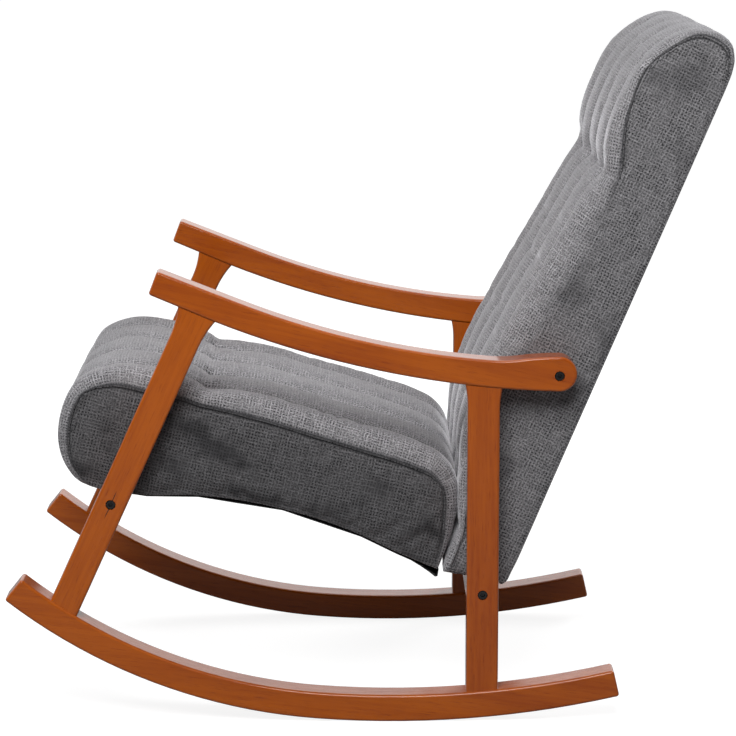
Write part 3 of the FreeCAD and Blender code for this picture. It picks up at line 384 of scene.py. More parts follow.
@dataclass(frozen=True)
class StainedWood:
    """A board of stained and varnished rubber wood."""

    name: str
    lie: GrainLie
    pale: tuple = (0.41, 0.088, 0.003, 1.0)
    deep: tuple = (0.295, 0.052, 0.002, 1.0)
    pores: float = 0.35
    coat: float = 1.0
    split_at: tuple | None = None

    def material(self, groups: Groups) -> bpy.types.Material:
        """Makes the board's material, with its grain turned along the board.

        Args:
            groups: The shared node groups.

        Returns:
            The material.
        """
        made, graph, shader = new_material(self.name)
        turns = tuple(math.radians(angle) for angle in (self.lie.value[0], 0.0, self.lie.value[1]))
        place = graph.add("ShaderNodeTexCoord").outputs["Object"]
        turned = graph.add("ShaderNodeMapping", {"Vector": place, "Rotation": turns}).outputs[0]
        inputs = {"Vector": turned, "Pale": self.pale, "Deep": self.deep, "Pores": self.pores}
        grain = graph.add("ShaderNodeGroup", inputs, node_tree=groups.wood)
        colour = grain.outputs["Color"]
        if self.split_at:
            colour = self.with_split(graph, turned, colour)
        graph.give(shader, {
            "Base Color": colour, "Roughness": grain.outputs["Roughness"], "Coat Weight": self.coat,
            "Coat Roughness": 0.14, "Coat IOR": 1.36, "Specular IOR Level": 0.12,
        })
        join_bump(graph, shader, grain.outputs["Height"], 0.00018)
        return made

    def with_split(self, graph: Graph, turned: Socket, colour: Socket) -> Socket:
        """Adds a short drying split in line with a bolt, on the board's outer face.

        Args:
            graph: The material's graph.
            turned: The place on the board, turned along its grain.
            colour: The board's colour.

        Returns:
            The colour with the split.
        """
        outer_x, along, across = self.split_at
        parts = graph.add("ShaderNodeSeparateXYZ", {0: turned})
        wander = graph.cloud(graph.stretched(turned, (0.0, 90.0, 0.0)), 1.0)
        offset = graph.maths("ADD", across - 0.0008, graph.maths("MULTIPLY", wander, 0.0016))
        aside = graph.maths("ABSOLUTE", graph.maths("SUBTRACT", parts.outputs["Z"], offset))
        reach = graph.maths("ABSOLUTE", graph.maths("SUBTRACT", parts.outputs["Y"], along))
        narrow = graph.ramp(aside, 0.0003, 0.0009, 1.0, 0.0)
        thin = graph.maths("MULTIPLY", narrow, graph.ramp(reach, 0.014, 0.024, 1.0, 0.0))
        outside = graph.ramp(parts.outputs["X"], outer_x - 0.004, outer_x - 0.001)
        return graph.mix(graph.maths("MULTIPLY", thin, outside), colour, (0.02, 0.008, 0.004, 1.0))


@dataclass(frozen=True)
class BareWood:
    """Unfinished wood of the hidden frame and the dowels."""

    name: str
    pale: tuple
    deep: tuple
    lie: GrainLie = GrainLie.CROSSWISE

    def material(self, groups: Groups) -> bpy.types.Material:
        """Returns the material of bare planed wood."""
        board = StainedWood(self.name, self.lie, self.pale, self.deep, pores=0.5, coat=0.0)
        return board.material(groups)


@dataclass(frozen=True)
class SteelFinish:
    """A steel surface, plated, sprung or blackened."""

    name: str
    metal: tuple
    worn: tuple
    roughest: float
    metallic: float = 1.0

    def material(self, groups: Groups) -> bpy.types.Material:
        """Makes the material of the steel.

        Args:
            groups: The shared node groups.

        Returns:
            The material.
        """
        made, graph, shader = new_material(self.name)
        place = graph.add("ShaderNodeTexCoord").outputs["Object"]
        inputs = {"Vector": place, "Metal": self.metal, "Worn": self.worn, "Roughest": self.roughest}
        grain = graph.add("ShaderNodeGroup", inputs, node_tree=groups.metal)
        graph.give(shader, {
            "Base Color": grain.outputs["Color"], "Roughness": grain.outputs["Roughness"],
            "Metallic": self.metallic,
        })
        join_bump(graph, shader, grain.outputs["Height"], 0.00004)
        return made


@dataclass(frozen=True)
class WovenFinish:
    """A woven cloth, on its own flat pattern or, with no pattern, on the object's place."""

    name: str
    yarn: tuple
    gap: tuple
    yarns_per_metre: float
    openness: float
    crushed: float
    sheen: float
    sheen_roughness: float = 0.35
    flat_pattern: bool = True

    def material(self, groups: Groups) -> bpy.types.Material:
        """Makes the material of the cloth.

        Args:
            groups: The shared node groups.

        Returns:
            The material.
        """
        made, graph, shader = new_material(self.name)
        if self.flat_pattern:
            place = graph.add("ShaderNodeUVMap", uv_map=WEAVE_UV).outputs[0]
        else:
            place = graph.add("ShaderNodeTexCoord").outputs["Object"]
        painted_side_shade, painted_seam_shade = (
            graph.add("ShaderNodeAttribute", attribute_name=mark).outputs["Fac"]
            for mark in (SIDE_SHADE_MARK, SEAM_SHADE_MARK))
        inputs = {
            "Vector": place, "Yarns": self.yarns_per_metre, "Yarn": self.yarn, "Gap": self.gap,
            # The crushed pile patches show only where the painted side shade lies
            "Openness": self.openness, "Crushed": graph.maths("MULTIPLY", painted_side_shade, self.crushed),
        }
        weave = graph.add("ShaderNodeGroup", inputs, node_tree=groups.cloth)
        # Painted shade: the cloth darkens towards the gap colour along the seams and in the tuft dents
        shaded = graph.mix(graph.maths("MULTIPLY", painted_seam_shade, 0.9), weave.outputs["Color"], self.gap)
        graph.give(shader, {
            # Painted shade: the cloth is darkened by the side shade share on the side panels and rolled edges
            "Base Color": graph.mix(1.0, shaded, graph.maths("SUBTRACT", 1.0, painted_side_shade), "MULTIPLY"),
            "Roughness": 0.9, "Specular IOR Level": 0.15, "Sheen Weight": self.sheen,
            "Sheen Roughness": self.sheen_roughness, "Sheen Tint": (0.93, 0.92, 0.96, 1.0),
        })
        join_bump(graph, shader, weave.outputs["Height"], 0.0007)
        return made


@dataclass(frozen=True)
class PressedFinish:
    """A pressed or foamed stuff: fibreboard or upholstery foam."""

    name: str
    pale: tuple
    deep: tuple
    grains_per_metre: float
    depth: float

    def material(self, groups: Groups) -> bpy.types.Material:
        """Makes the material, speckled at the size of its grains.

        Args:
            groups: The shared node groups.

        Returns:
            The material.
        """
        made, graph, shader = new_material(self.name)
        place = graph.add("ShaderNodeTexCoord").outputs["Object"]
        grains = graph.cloud(place, 4.0, self.grains_per_metre)
        patches = graph.cloud(place, 2.0, self.grains_per_metre * 0.05)
        coarse = graph.ramp(patches, 0.3, 0.7, 0.0, 0.4)
        blend = graph.maths("ADD", graph.ramp(grains, 0.3, 0.7, 0.0, 0.6), coarse)
        rough = graph.ramp(grains, 0.3, 0.7, 0.7, 0.95)
        graph.give(shader, {"Base Color": graph.mix(blend, self.pale, self.deep), "Roughness": rough})
        join_bump(graph, shader, grains, self.depth)
        return made


@dataclass(frozen=True)
class SewingThread:
    """Dark grey twisted thread."""

    name: str = "sewing_thread"
    deep: tuple = (0.012, 0.012, 0.013, 1.0)
    pale: tuple = (0.035, 0.035, 0.038, 1.0)
    twists: float = 2600.0

    def material(self) -> bpy.types.Material:
        """Makes the material of the thread.

        Returns:
            The material.
        """
        made, graph, shader = new_material(self.name)
        place = graph.add("ShaderNodeTexCoord").outputs["Object"]
        twist = graph.cloud(graph.stretched(place, (self.twists,) * 3), 2.0)
        colour = graph.mix(graph.ramp(twist, 0.35, 0.65), self.deep, self.pale)
        graph.give(shader, {"Base Color": colour, "Roughness": 0.7, "Sheen Weight": 0.2})
        join_bump(graph, shader, twist, 0.0001)
        return made


# Meshes


def linked(name: str, mesh: bpy.types.Mesh) -> bpy.types.Object:
    """Puts a mesh in the scene.

    Args:
        name: The new object's name.
        mesh: The mesh.

    Returns:
        The object, at the origin.
    """
    made = bpy.data.objects.new(name, mesh)
    bpy.context.scene.collection.objects.link(made)
    return made


def applied(piece: bpy.types.Object) -> None:
    """Turns a piece's live modifiers into its plain mesh.

    Args:
        piece: The piece.
    """
    graph = bpy.context.evaluated_depsgraph_get()
    mesh = bpy.data.meshes.new_from_object(piece.evaluated_get(graph), depsgraph=graph)
    mesh.name = piece.name
    old = piece.data
    piece.modifiers.clear()
    piece.data = mesh
    bpy.data.meshes.remove(old)


def dress(piece: bpy.types.Object, material: bpy.types.Material, slot: Slot, replaced: tuple = ()) -> None:
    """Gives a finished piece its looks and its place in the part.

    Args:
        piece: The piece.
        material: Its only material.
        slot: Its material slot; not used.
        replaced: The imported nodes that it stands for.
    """
    piece.data.materials.clear()
    piece.data.materials.append(material)
    piece.data.shade_smooth()
    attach(piece, BODY)
    if replaced:
        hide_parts(*replaced)


def smooth_bump(value: np.ndarray | float, width: float) -> np.ndarray | float:
    """Returns a rounded bump of height 1 at 0 that has died away at the width."""
    return np.exp(-((value / width) ** 2) * 2.5)


def graded(length: float, steps: int, fine: tuple) -> np.ndarray:
    """Places along a run, finely spaced at both ends.

    Args:
        length: The run's length.
        steps: How many steps the run has.
        fine: Places of the fine steps, from either end.

    Returns:
        The places, from 0 to the length.
    """
    middle = np.linspace(fine[-1], length - fine[-1], steps - 2 * len(fine) + 1)
    ends = np.array(fine[:-1])
    return np.concatenate([[0.0], ends, middle, length - ends[::-1], [length]])


def evened(values: np.ndarray, passes: int = 5) -> np.ndarray:
    """Smooths the kinks out of a closed row.

    Args:
        values: The row's values.
        passes: How often each is blended with its neighbours.

    Returns:
        The smoothed values.
    """
    for _ in range(passes):
        values = 0.25 * np.roll(values, 1) + 0.5 * values + 0.25 * np.roll(values, -1)
    return values


def stretches(places: np.ndarray) -> np.ndarray:
    """Returns the lengths of the steps from place to place along a row."""
    return np.linalg.norm(np.diff(places, axis=0), axis=1)


def travelled(places: np.ndarray) -> np.ndarray:
    """Returns how far along a row each of its places lies."""
    return np.concatenate([[0.0], np.cumsum(stretches(places))])


def uneven(*place: float) -> float:
    """Returns smooth noise, from -1 to 1, at a place."""
    return noise.noise(Vector(place))


class Strip(Enum):
    """The kinds of columns that a quilted sheet has."""

    FLAT = "between the outer seams"
    BORDER = "from the outer seams to the rolled edges"
    ROLL = "on the rolled edges"


@dataclass(frozen=True)
class RimPoint:
    """A point of a cushion's side outline, in millimetres from the balance point.

    roll is how far in the border seam lies, quilt the share of the channels' depth that shows,
    sewn how sharp the border seam is, a corner breaks the outline's smooth run, and spread is
    how far across the cushion its edge rolls over, where that isn't set by the roll.
    """

    y: float
    z: float
    roll: float
    quilt: float
    sewn: float
    corner: bool = False
    spread: float = 0.0


def rim_points(*rows: tuple) -> tuple[RimPoint, ...]:
    """Returns rim points from rows of their values."""
    return tuple(RimPoint(*row) for row in rows)


@dataclass(frozen=True)
class Crease:
    """A sewn fold across a cushion, at the rim point of that number."""

    point: int
    between: float
    at_seams: float
    ahead: float
    behind: float
    dimple: float


@dataclass
class Rim:
    """A cushion's side outline, sampled: one entry in each array for each row."""

    place: np.ndarray
    inward: np.ndarray
    along: np.ndarray
    roll: np.ndarray
    quilt: np.ndarray
    sewn: np.ndarray
    spread: np.ndarray
    creases: np.ndarray
    length: float


@dataclass
class Cushion:
    """An upholstered cushion: a quilted sheet wrapped round its outline, closed by two side panels."""

    name: str
    half: float
    runs: tuple[tuple[RimPoint, ...], ...]
    steps: tuple[int, int, int, int]
    crease: Crease
    quilt_depth: float
    weave_lean: float
    side_swell: float
    widest: float
    # Share by which painted shade darkens the side panels and the rolled edges
    nap: float
    replaced: tuple[str, ...]
    seed: float
    seams: tuple[float, ...] = (-169.5, -56.5, 56.5, 169.5)
    seam_offsets: tuple[float, ...] = (1.4, 3.6, 7.5, 13.0, 21.0, 31.0, 43.0)
    border_shares: tuple[float, ...] = (0.02, 0.05, 0.10, 0.18, 0.30, 0.45, 0.62, 0.80)
    roll_steps: int = 7
    roll_widening: float = 1.25
    welt: tuple[float, ...] = (2.4, 5.0, 8.0)
    welt_rise: tuple[float, ...] = (-2.4, 1.4, -1.6, 1.2)
    start_inset: float = 2.2
    seam_inset: float = 1.6
    seam_pull: float = 1.2
    groove: float = 3.4
    groove_width: float = 3.2
    valley_power: float = 3.4
    crease_fade: float = 30.0
    pucker: float = 1.9
    billow: float = 1.4
    panel_pattern_at: float = 2.0
    samples: int = 33
    pressure: float = 3.0
    slack: float = 0.02
    most_swell: float = 5.0
    sim_frames: int = 16

    def outline_points(self) -> list[RimPoint]:
        """Returns the closed outline's points, each once."""
        return [point for run in self.runs for point in run[:-1]]

    def headings(self, points: list[RimPoint]) -> tuple[np.ndarray, np.ndarray]:
        """Finds the unit directions in which the outline enters and leaves each point.

        Args:
            points: The outline's points.

        Returns:
            The entering directions and the leaving ones.
        """
        places = np.array([(point.y, point.z) for point in points])
        leaving = np.roll(places, -1, axis=0) - places
        reach = np.linalg.norm(leaving, axis=1, keepdims=True)
        leaving = leaving / reach
        entering = np.roll(leaving, 1, axis=0)
        before = np.roll(reach, 1, axis=0)
        through = entering * reach + leaving * before
        through /= np.linalg.norm(through, axis=1, keepdims=True)
        corners = np.array([point.corner for point in points])[:, None]
        return np.where(corners, entering, through), np.where(corners, leaving, through)

    def smooth_run(self, run: tuple, first: int, headings: tuple) -> tuple[np.ndarray, list[float]]:
        """Samples one run of the outline as a smooth curve through its points.

        Args:
            run: The run's points.
            first: The number of its first point on the whole outline.
            headings: The directions into each point of the outline, and those out of it.

        Returns:
            The curve's places, and how far along it each point lies.
        """
        share = np.linspace(0.0, 1.0, self.samples)[:, None]
        weights = (
            2 * share**3 - 3 * share**2 + 1, share**3 - 2 * share**2 + share,
            -2 * share**3 + 3 * share**2, share**3 - share**2,
        )
        entering, leaving = headings
        parts, at_points = [], [0.0]
        for number, (start, end) in enumerate(zip(run, run[1:]), start=first):
            a, b = np.array((start.y, start.z)), np.array((end.y, end.z))
            span = np.linalg.norm(b - a)
            part = weights[0] * a + weights[1] * span * leaving[number]
            part = part + weights[2] * b + weights[3] * span * entering[(number + 1) % len(entering)]
            parts.append(part[1:] if parts else part)
            at_points.append(at_points[-1] + stretches(part).sum())
        return np.concatenate(parts), at_points

    def rim(self) -> Rim:
        """Samples the outline as smooth curves through its points.

        Returns:
            The sampled outline.
        """
        headings = self.headings(self.outline_points())
        rows, marks, first, base = [], [], 0, 0.0
        for run, steps in zip(self.runs, self.steps):
            curve, at_points = self.smooth_run(run, first, headings)
            along = travelled(curve)
            stops = graded(along[-1], steps, self.welt)[:-1]
            values = np.array([
                (point.roll, point.quilt, point.sewn, point.spread or point.roll * self.roll_widening)
                for point in run])
            columns = [np.interp(stops, along, curve[:, axis]) for axis in (0, 1)]
            columns += [np.interp(stops, at_points, values[:, column]) for column in range(4)]
            columns.append(stops + base)
            rows.append(np.array(columns).T)
            marks += [base + at_point for at_point in at_points[:-1]]
            first += len(run) - 1
            base += along[-1]
        table = np.concatenate(rows)
        place = table[:, :2]
        roll, quilt, sewn, spread, along = table.T[2:]
        steps_on = (np.roll(place, -1, axis=0) - place, place - np.roll(place, 1, axis=0))
        ahead, behind = (step / np.linalg.norm(step, axis=1, keepdims=True) for step in steps_on)
        run_on = ahead + behind
        run_on /= np.linalg.norm(run_on, axis=1, keepdims=True)
        ahead_y, ahead_z = np.roll(place, -1, axis=0).T
        turning = math.copysign(1.0, float((place[:, 0] * ahead_z - ahead_y * place[:, 1]).sum()))
        inward = np.stack([-run_on[:, 1], run_on[:, 0]], axis=1) * turning
        from_crease = along - marks[self.crease.point]
        width = np.where(from_crease > 0, self.crease.ahead, self.crease.behind)
        creases = np.exp(-((np.abs(from_crease) / width) ** 1.5))
        return Rim(place, inward, along, evened(roll), quilt, sewn, evened(spread), creases, base)

    def stations(self) -> list[tuple[Strip, float, float]]:
        """Lays out the columns of the quilted sheet.

        Returns:
            Each column's strip, its place or share on it, and its side.
        """
        beside = [
            seam + side * offset for seam in self.seams for offset in self.seam_offsets for side in (-1.0, 1.0)]
        flat = {round(place, 3) for place in beside if abs(place) < max(self.seams)}
        middles = {(a + b) / 2 for a, b in zip(self.seams, self.seams[1:])}
        columns = [(Strip.FLAT, place, 0.0) for place in sorted(flat | middles | set(self.seams))]
        right = [(Strip.BORDER, share, 1.0) for share in self.border_shares]
        right += [(Strip.ROLL, step / self.roll_steps, 1.0) for step in range(self.roll_steps + 1)]
        left = [(strip, share, -1.0) for strip, share, _ in reversed(right)]
        return left + columns + right

    def quilted(self, place: np.ndarray | float) -> np.ndarray | float:
        """Finds how deep the sheet is drawn in.

        Args:
            place: Places across the width.

        Returns:
            The depths, from 0 to 1.
        """
        pitch = self.seams[1] - self.seams[0]
        away = np.min([np.abs(place - seam) for seam in self.seams], axis=0)
        return np.clip(1.0 - away / (pitch / 2), 0.0, 1.0) ** self.valley_power

    def sheet_points(self, rim: Rim) -> tuple[np.ndarray, np.ndarray]:
        """Places the quilted sheet.

        Args:
            rim: The sampled outline.

        Returns:
            The points, by row and column, and each point's place across the flat sheet.
        """
        columns = self.stations()
        points = np.zeros((len(rim.along), len(columns), 3))
        across = np.zeros((len(rim.along), len(columns)))
        edge = self.half - self.seam_inset
        widening = np.maximum(rim.spread, 2.5)
        crown = edge - widening
        outer = self.seams[-1]
        tuft = rim.creases * (self.crease.at_seams - self.crease.between)
        for index, (strip, value, side) in enumerate(columns):
            depth = np.zeros(len(rim.along))
            if strip is Strip.FLAT:
                flat = place = np.full(len(rim.along), value)
            elif strip is Strip.BORDER:
                flat = place = side * (outer + value * (crown - outer))
            else:
                angle = value * math.pi / 2
                place = side * (crown + widening * math.sin(angle))
                depth = rim.roll * (1.0 - math.cos(angle))
                flat = side * (crown + angle * (widening + rim.roll) / 2)
            drawn = self.quilted(place) * rim.quilt
            nearest = np.min([np.abs(place - seam) for seam in self.seams], axis=0)
            cut = smooth_bump(nearest, self.groove_width) * self.groove * rim.quilt
            fade = np.clip((crown - np.abs(place)) / self.crease_fade, 0.0, 1.0)
            fold = rim.creases * self.crease.between * (0.35 + 0.65 * fade)
            fold = fold + tuft * smooth_bump(nearest, self.crease.dimple) * fade
            depth = depth + drawn * self.quilt_depth + cut + fold + self.start_inset * rim.quilt
            depth = depth + self.ruffle(rim, place, nearest)
            if strip is Strip.ROLL and value == 1.0:
                depth = depth + self.seam_pull * rim.sewn
            points[:, index, 0] = place
            points[:, index, 1:] = rim.place + rim.inward * depth[:, None]
            across[:, index] = flat
        return points, across

    def ruffle(self, rim: Rim, place: np.ndarray, nearest: np.ndarray) -> np.ndarray:
        """Makes small puckers beside the seams and soft unevenness elsewhere.

        Args:
            rim: The sampled outline.
            place: Each row's place across the width.
            nearest: Each row's distance from the nearest seam.

        Returns:
            The depth at each row.
        """
        result = np.zeros(len(rim.along))
        for row, (run, x, near) in enumerate(zip(rim.along, place, nearest)):
            pucker = self.pucker * uneven(x * 0.02, run * 0.085, self.seed) * math.exp(-near / 9.0)
            billow = self.billow * uneven(x * 0.012, run * 0.012, self.seed + 5.0)
            result[row] = (pucker + billow) * rim.quilt[row]
        return result

    def side_points(self, rim: Rim, edge: np.ndarray, side: float) -> np.ndarray:
        """Fills one side panel between the four runs of the border seam.

        Args:
            rim: The sampled outline.
            edge: The border seam's points, one for each row.
            side: 1 for the left side of the chair and -1 for its right side.

        Returns:
            The panel's points, by step along and step across.
        """
        first, second, third, fourth = self.steps
        loop = np.concatenate([edge, edge[:1]])[:, 1:]
        top = loop[: first + 1]
        nose = loop[first : first + second + 1]
        under = loop[first + second : first + second + third + 1][::-1]
        rear = loop[first + second + third :][::-1]
        u, v = (travelled(row) / stretches(row).sum() for row in (top, nose))
        u, v = u[:, None, None], v[None, :, None]
        panel = (1 - v) * top[:, None] + v * under[:, None] + (1 - u) * rear[None] + u * nose[None]
        panel = panel - (1 - u) * (1 - v) * top[0] - u * (1 - v) * top[-1]
        panel = panel - (1 - u) * v * under[0] - u * v * under[-1]
        result = np.zeros((first + 1, second + 1, 3))
        result[..., 1:] = panel
        sharp = self.sewn_on_panel(rim, (first + 1, second + 1))
        for i in range(first + 1):
            for j in range(second + 1):
                rise = self.side_rise(panel[i, j], i, j, side, sharp[i, j])
                result[i, j, 0] = side * (self.half - self.seam_inset + rise)
        return result

    def side_rise(self, place: np.ndarray, along: int, across: int, side: float, sharp: float) -> float:
        """Finds how far a side panel stands out, with the welt beside its border seam.

        Args:
            place: A point of the panel.
            along: Its step along.
            across: Its step across.
            side: 1 for the left side of the chair and -1 for its right side.
            sharp: How sharp the border seam is there.

        Returns:
            The rise, in millimetres.
        """
        rings = min(along, self.steps[0] - along, across, self.steps[1] - across)
        if rings <= len(self.welt):
            plain = 0.9 * (rings / len(self.welt)) ** 0.5
            return plain + sharp * (self.welt_rise[rings] - plain)
        u = along / self.steps[0]
        v = across / self.steps[1]
        fullness = (16 * u * (1 - u) * v * (1 - v)) ** 0.45
        dent = uneven(*place * 0.014, self.seed + 9.0 * side)
        wrinkle = uneven(*place * 0.05, self.seed - 3.0 * side)
        return 1.1 + self.side_swell * fullness * (1.0 + 0.5 * dent) + 0.35 * wrinkle

    def sheet_marks(self, rim: Rim, columns: int) -> tuple[list[int], np.ndarray, np.ndarray]:
        """Marks the quilted sheet's sewn seams, and paints shade along the seams, in the tuft dents and over the
        rolled edges.

        Args:
            rim: The sampled outline.
            columns: How many columns the sheet has.

        Returns:
            The numbers of the sewn vertices, the painted seam shade and the painted side shade.
        """
        rows = range(len(rim.along))
        sewn = [row * columns + column for row in rows for column in (0, columns - 1)]
        plain = [row for row in rows if rim.quilt[row] < 0.05]
        sewn += [row * columns + column for row in plain for column in range(columns)]
        seams, side_shades = np.zeros((2, len(rows), columns))
        # Painted shade along the border seam
        seams[:, 0] = seams[:, -1] = rim.sewn
        for column, (strip, value, _) in enumerate(self.stations()):
            nearest = min(abs(value - seam) for seam in self.seams)
            if strip is Strip.ROLL:
                # Painted shade that deepens across the rolled edge towards the side panel
                side_shades[:, column] = self.nap * value**1.5 * (1.0 - 0.5 * rim.sewn)
            if strip is Strip.FLAT and nearest < 2.0:
                sewn += [row * columns + column for row in rows if rim.quilt[row] > 0.3]
                # Painted shade along the channel seams
                seams[:, column] = rim.quilt * (1.0 if nearest == 0.0 else 0.9)
            if strip is Strip.FLAT and nearest < 15.0:
                # Painted shade in the tuft dents and beside the seams
                tuft = math.exp(-((nearest / 9.0) ** 2)) * rim.creases
                shadow = 0.5 * math.exp(-((nearest / 4.5) ** 4))
                seams[:, column] = np.maximum(seams[:, column], np.maximum(tuft, shadow) * rim.quilt)
        return sewn, seams, side_shades

    def mesh(self) -> tuple[bpy.types.Mesh, list[int]]:
        """Builds the cushion's mesh, in metres, with its weave pattern.

        Returns:
            The mesh and the numbers of the sewn vertices.
        """
        rim = self.rim()
        points, across = self.sheet_points(rim)
        rows, columns = points.shape[:2]
        vertices = list(points.reshape(-1, 3))
        faces, patterns = [], []
        run_on = np.concatenate([rim.along, [rim.length]])
        for row in range(rows):
            after = (row + 1) % rows
            for column in range(columns - 1):
                corners = ((row, column), (after, column), (after, column + 1), (row, column + 1))
                faces.append([i * columns + j for i, j in corners])
                up = (run_on[row], run_on[row + 1], run_on[row + 1], run_on[row])
                patterns.append([(across[i, j] * MM, height * MM) for (i, j), height in zip(corners, up)])
        sewn, *marks = self.sheet_marks(rim, columns)
        seam_shade_marks, side_shade_marks = (list(values.ravel()) for values in marks)
        lean = math.radians(self.weave_lean)
        for side, column in ((-1.0, 0), (1.0, columns - 1)):
            panel = self.side_points(rim, points[:, column], side)
            numbers = self.panel_numbers(rows, columns, column, len(vertices))
            vertices += list(panel[1:-1, 1:-1].reshape(-1, 3))
            flat_u = panel[..., 1] * math.cos(lean) + panel[..., 2] * math.sin(lean)
            flat_v = panel[..., 2] * math.cos(lean) - panel[..., 1] * math.sin(lean)
            aside = self.panel_pattern_at * side
            for i in range(numbers.shape[0] - 1):
                for j in range(numbers.shape[1] - 1):
                    corners = ((i, j), (i + 1, j), (i + 1, j + 1), (i, j + 1))
                    faces.append([int(numbers[corner]) for corner in corners])
                    patterns.append([
                        (flat_u[corner] * MM + aside, flat_v[corner] * MM) for corner in corners])
            i, j = np.indices(numbers.shape)
            ring = np.minimum(np.minimum(i, i[::-1]), np.minimum(j, j[:, ::-1]))
            sewn += [int(number) for number in numbers[ring <= 2]]
            # Painted shade along the border seam on the side panel
            seam_shade_marks += list(((ring == 2) * self.sewn_on_panel(rim, numbers.shape))[1:-1, 1:-1].ravel())
            # Painted shade over the whole side panel
            side_shade_marks += [self.nap] * (len(vertices) - len(side_shade_marks))
        made = bpy.data.meshes.new(self.name)
        made.from_pydata(in_frame(np.array(vertices)).tolist(), [], faces)
        lay_weave(made, patterns)
        for title, values in ((SEAM_SHADE_MARK, seam_shade_marks), (SIDE_SHADE_MARK, side_shade_marks)):
            mark = made.attributes.new(title, "FLOAT", "POINT")
            mark.data.foreach_set("value", np.array(values, dtype=np.float32))
        turn_outwards(made)
        return made, sorted(set(sewn))

    def sewn_on_panel(self, rim: Rim, shape: tuple[int, int]) -> np.ndarray:
        """Carries the sharpness of the border seam onto a side panel.

        Args:
            rim: The sampled outline.
            shape: How many points the panel has each way.

        Returns:
            The sharpness at each point of the panel.
        """
        first, second, third, _ = self.steps
        i, j = np.indices(shape)
        ends = np.stack([j, i[::-1], j[:, ::-1], i])
        rows = np.stack([i, first + j, first + second + i[::-1], first + second + third + j[:, ::-1]])
        nearest = np.take_along_axis(rows, ends.argmin(axis=0)[None], axis=0)[0] % len(rim.sewn)
        return rim.sewn[nearest]

    def panel_numbers(self, rows: int, columns: int, column: int, start: int) -> np.ndarray:
        """Numbers the vertices of a side panel, whose rim is an edge of the sheet.

        Args:
            rows: How many rows the sheet has.
            columns: How many columns the sheet has.
            column: The sheet's edge column.
            start: The number of the panel's first own vertex.

        Returns:
            The numbers, by step along and step across.
        """
        first, second, third, _ = self.steps
        numbers = np.zeros((first + 1, second + 1), dtype=int)
        edge = [row * columns + column for row in range(rows)] + [column]
        numbers[:, 0] = edge[: first + 1]
        numbers[first, :] = edge[first : first + second + 1]
        numbers[:, second] = edge[first + second : first + second + third + 1][::-1]
        numbers[0, :] = edge[first + second + third :][::-1]
        inner = np.arange((first - 1) * (second - 1)).reshape(first - 1, second - 1)
        numbers[1:-1, 1:-1] = inner + start
        return numbers

    def swell(self, piece: bpy.types.Object, sewn: list[int]) -> None:
        """Blows the cloth up a little between its seams by simulation, within bounds.

        Args:
            piece: The cushion's piece.
            sewn: The numbers of the vertices that stay in place.
        """
        before = vertex_array(piece.data)
        group = piece.vertex_groups.new(name="sewn")
        group.add(sewn, 1.0, "REPLACE")
        cloth = piece.modifiers.new("swell", "CLOTH")
        settings = {
            "quality": 4, "mass": 0.2, "tension_stiffness": 12.0, "compression_stiffness": 12.0,
            "bending_stiffness": 0.4, "use_pressure": True, "uniform_pressure_force": self.pressure,
            "vertex_group_mass": group.name, "shrink_min": -self.slack,
        }
        for title, value in settings.items():
            setattr(cloth.settings, title, value)
        cloth.settings.effector_weights.gravity = 0.0
        cloth.collision_settings.use_collision = False
        cloth.point_cache.frame_start = 1
        cloth.point_cache.frame_end = self.sim_frames
        for frame in range(1, self.sim_frames + 1):
            bpy.context.scene.frame_set(frame)
        graph = bpy.context.evaluated_depsgraph_get()
        after = vertex_array(piece.evaluated_get(graph).data)
        piece.modifiers.clear()
        piece.vertex_groups.clear()
        bpy.context.scene.frame_set(1)
        moved = after - before
        reach = np.linalg.norm(moved, axis=1, keepdims=True)
        most = self.most_swell * MM
        limited = moved * most * np.tanh(reach / most) / np.maximum(reach, 1e-9)
        LOG.info("%s: cloth moved by up to %.1f mm", self.name, float(reach.max()) / MM)
        set_vertices(piece.data, before + limited)

    def keep_within(self, piece: bpy.types.Object) -> None:
        """Holds the cushion's sides clear of the armrests and legs.

        Args:
            piece: The cushion's piece.
        """
        places = vertex_array(piece.data)
        places[:, 0] = np.clip(places[:, 0], -self.widest * MM, self.widest * MM)
        set_vertices(piece.data, places)

    def build(self) -> bpy.types.Object:
        """Makes the cushion, simulated and smoothed.

        Returns:
            The cushion's piece, not yet dressed.
        """
        mesh, sewn = self.mesh()
        piece = linked(self.name, mesh)
        self.swell(piece, sewn)
        self.keep_within(piece)
        smoothing = piece.modifiers.new("smooth", "SUBSURF")
        smoothing.levels = smoothing.render_levels = 1
        smoothing.uv_smooth = "PRESERVE_BOUNDARIES"
        applied(piece)
        return piece

    def seam_path(self, column: int) -> list[list[float]]:
        """Follows one seam of the quilted sheet, where the channels show.

        Args:
            column: The seam's column.

        Returns:
            The points of the path, in metres.
        """
        rim = self.rim()
        points, _ = self.sheet_points(rim)
        return in_frame(points[rim.quilt > 0.5, column]).tolist()

    def border_path(self, side: float, ring: int) -> list[list[float]]:
        """Follows the border seam, or one of the rings of the welt inside it.

        Args:
            side: 1 for the left side of the chair and -1 for its right side.
            ring: 0 for the seam itself, and then the rings in order.

        Returns:
            The points of the path, in metres.
        """
        rim = self.rim()
        points, _ = self.sheet_points(rim)
        column = 0 if side < 0 else points.shape[1] - 1
        inset = (0.0,) + self.welt
        places = points[:, column].copy()
        places[:, 1:] += rim.inward * inset[ring]
        return in_frame(places[rim.sewn > 0.45]).tolist()


def vertex_array(mesh: bpy.types.Mesh) -> np.ndarray:
    """Reads a mesh's vertex places.

    Args:
        mesh: The mesh.

    Returns:
        One row for each vertex.
    """
    flat = np.zeros(len(mesh.vertices) * 3, dtype=np.float32)
    mesh.vertices.foreach_get("co", flat)
    return flat.reshape(-1, 3).astype(float)


